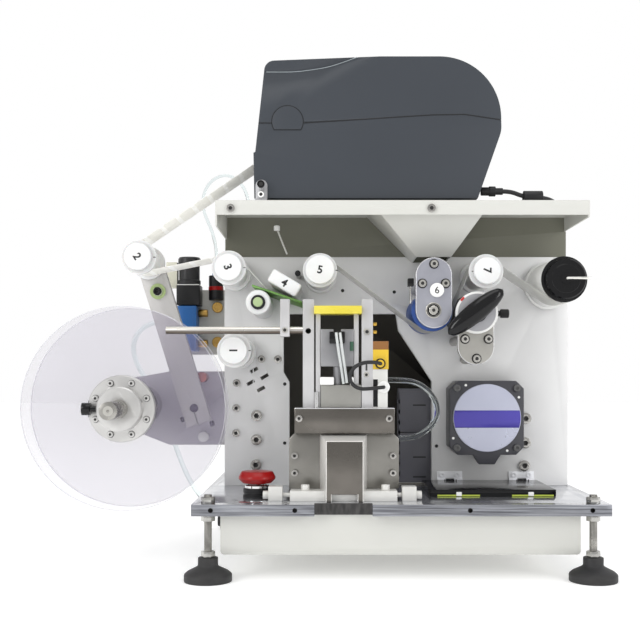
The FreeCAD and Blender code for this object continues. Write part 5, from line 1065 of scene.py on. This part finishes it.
# Air unit
# A black regulator with its ribbed knob and a cream bowl, a blue valve and a second black
# body, all on a folded bracket, with brass and blue push-in fittings.
valve_blue = finish("valve_blue", (28, 98, 168), 0.34)
brass = finish("brass", (186, 150, 84), 0.26, metal=1.0)
bowl_cream = finish("bowl_cream", (224, 222, 204), 0.2, Alpha=0.85)
AIR = body_of("air_valves")
valves = broken_edges("air_valves", 0.0010, black_moulding)
paint(valves, cream_coat, lambda x, forward, z, normal: forward < -63.9)
paint(valves, valve_blue, lambda x, forward, z, normal: forward > -64.1 and -184.5 < x < -159.9
      and z < 218.3)
paint(valves, brass, lambda x, forward, z, normal: -159.9 < x < -147.9 and z < 218
      and forward > -62)
paint(valves, bowl_cream, lambda x, forward, z, normal: x < -185.2 and z > 240.8)
knob_black = finish("knob_black", (28, 28, 30), 0.36, grain=(900, 0.06))
turned("regulator_knob_turned", [(13, 0), (14, 1), (14, 5), (12.8, 6), (12.8, 26), (14, 27),
                                 (14, 32), (12.6, 34)], (-170.5, -49.5, 245), knob_black,
       body_of("regulator_knob"), SLOTS["regulator_knob"], "regulator_knob", toward="up",
       sides=28)
boxed("valve_seam", (-184, -157), (-63.4, -36), (243.7, 244.8), hose_stand, AIR,
      "white_nylon", 0.2, 1)
turned("second_red_ring", [(9.4, 0), (9.4, 4.4), (9.0, 4.8)], (-138, -55, 238.5), signal_red,
       AIR, "red_plastic", toward="up", sides=32)
for index, z in enumerate((217.8, 173.9)):
    turned("brass_nut_%d" % index, [(6.8, 0), (6.8, 3), (6.2, 3.6), (3.4, 3.6), (3.2, 2.6)],
           (-137, -64, z), brass, AIR, "steel", sides=24)
for index, spot in enumerate(((-184, -51, 199), (-138, -54, 257))):
    turned("push_fitting_%d" % index, [(4.6, 0), (4.6, 5), (4.0, 6.4)],
           (spot[0] + (0 if index else 1.5), spot[1], spot[2] - (2 if index else 0)),
           valve_blue, AIR, "black_plastic", toward="up" if index else "left", sides=28)

# Screws
# Plated cap screws all over the machine, with the copper stop pin, the white plug button, the
# clamp tab and the printer's lead entry. Each screw's vertices are gathered to find its
# middle, and the faces near it, its socket, are painted dark as the shade inside it.
copper = finish("copper_pin", (178, 94, 60), 0.28, metal=1.0)
plated = finish("plated_screws", (178, 176, 172), 0.24, metal=1.0, second=(136, 134, 131),
                marks=60)
screws = broken_edges("machine_screws", 0.0003, plated)
parent = list(range(len(screws.data.vertices)))


def root_of(index):
    while parent[index] != index:
        parent[index] = parent[parent[index]]
        index = parent[index]
    return index


for edge in screws.data.edges:
    parent[root_of(edge.vertices[0])] = root_of(edge.vertices[1])
spans = {}
for vertex in screws.data.vertices:
    spans.setdefault(root_of(vertex.index), []).append(vertex.co)
middles = {}
for key, spots in spans.items():
    wide = max(spot.x for spot in spots) - min(spot.x for spot in spots)
    tall = max(spot.z for spot in spots) - min(spot.z for spot in spots)
    if abs(wide - tall) < 0.0012 and wide < 0.018:
        middles[key] = (sum(spot.x for spot in spots) / len(spots),
                        sum(spot.z for spot in spots) / len(spots), wide / 2)
screws.data.materials.append(socket_painted_shade)
for face in screws.data.polygons:
    centre = middles.get(root_of(face.vertices[0]))
    if centre and max(math.hypot(screws.data.vertices[index].co.x - centre[0],
                                 screws.data.vertices[index].co.z - centre[1])
                      for index in face.vertices) < centre[2] * 0.68:
        face.material_index = 1
# The motor's corner screws take the same dark grey.
paint(screws, dark_grey_and_shade, lambda x, forward, z, normal: 145 < x < 229 and 41 < z < 125
      and forward > 30 and abs(x - 187) > 28)
paint(screws, copper, lambda x, forward, z, normal: math.hypot(x + 148, z - 130) < 9)
paint(screws, white_nylon, lambda x, forward, z, normal: math.hypot(x + 148, z - 58) < 9)
paint(screws, satin_aluminium, lambda x, forward, z, normal: -78.5 < x < -63.5 and z > 323.2)
paint(screws, black_moulding, lambda x, forward, z, normal: 246 < x < 264 and z > 323.2)
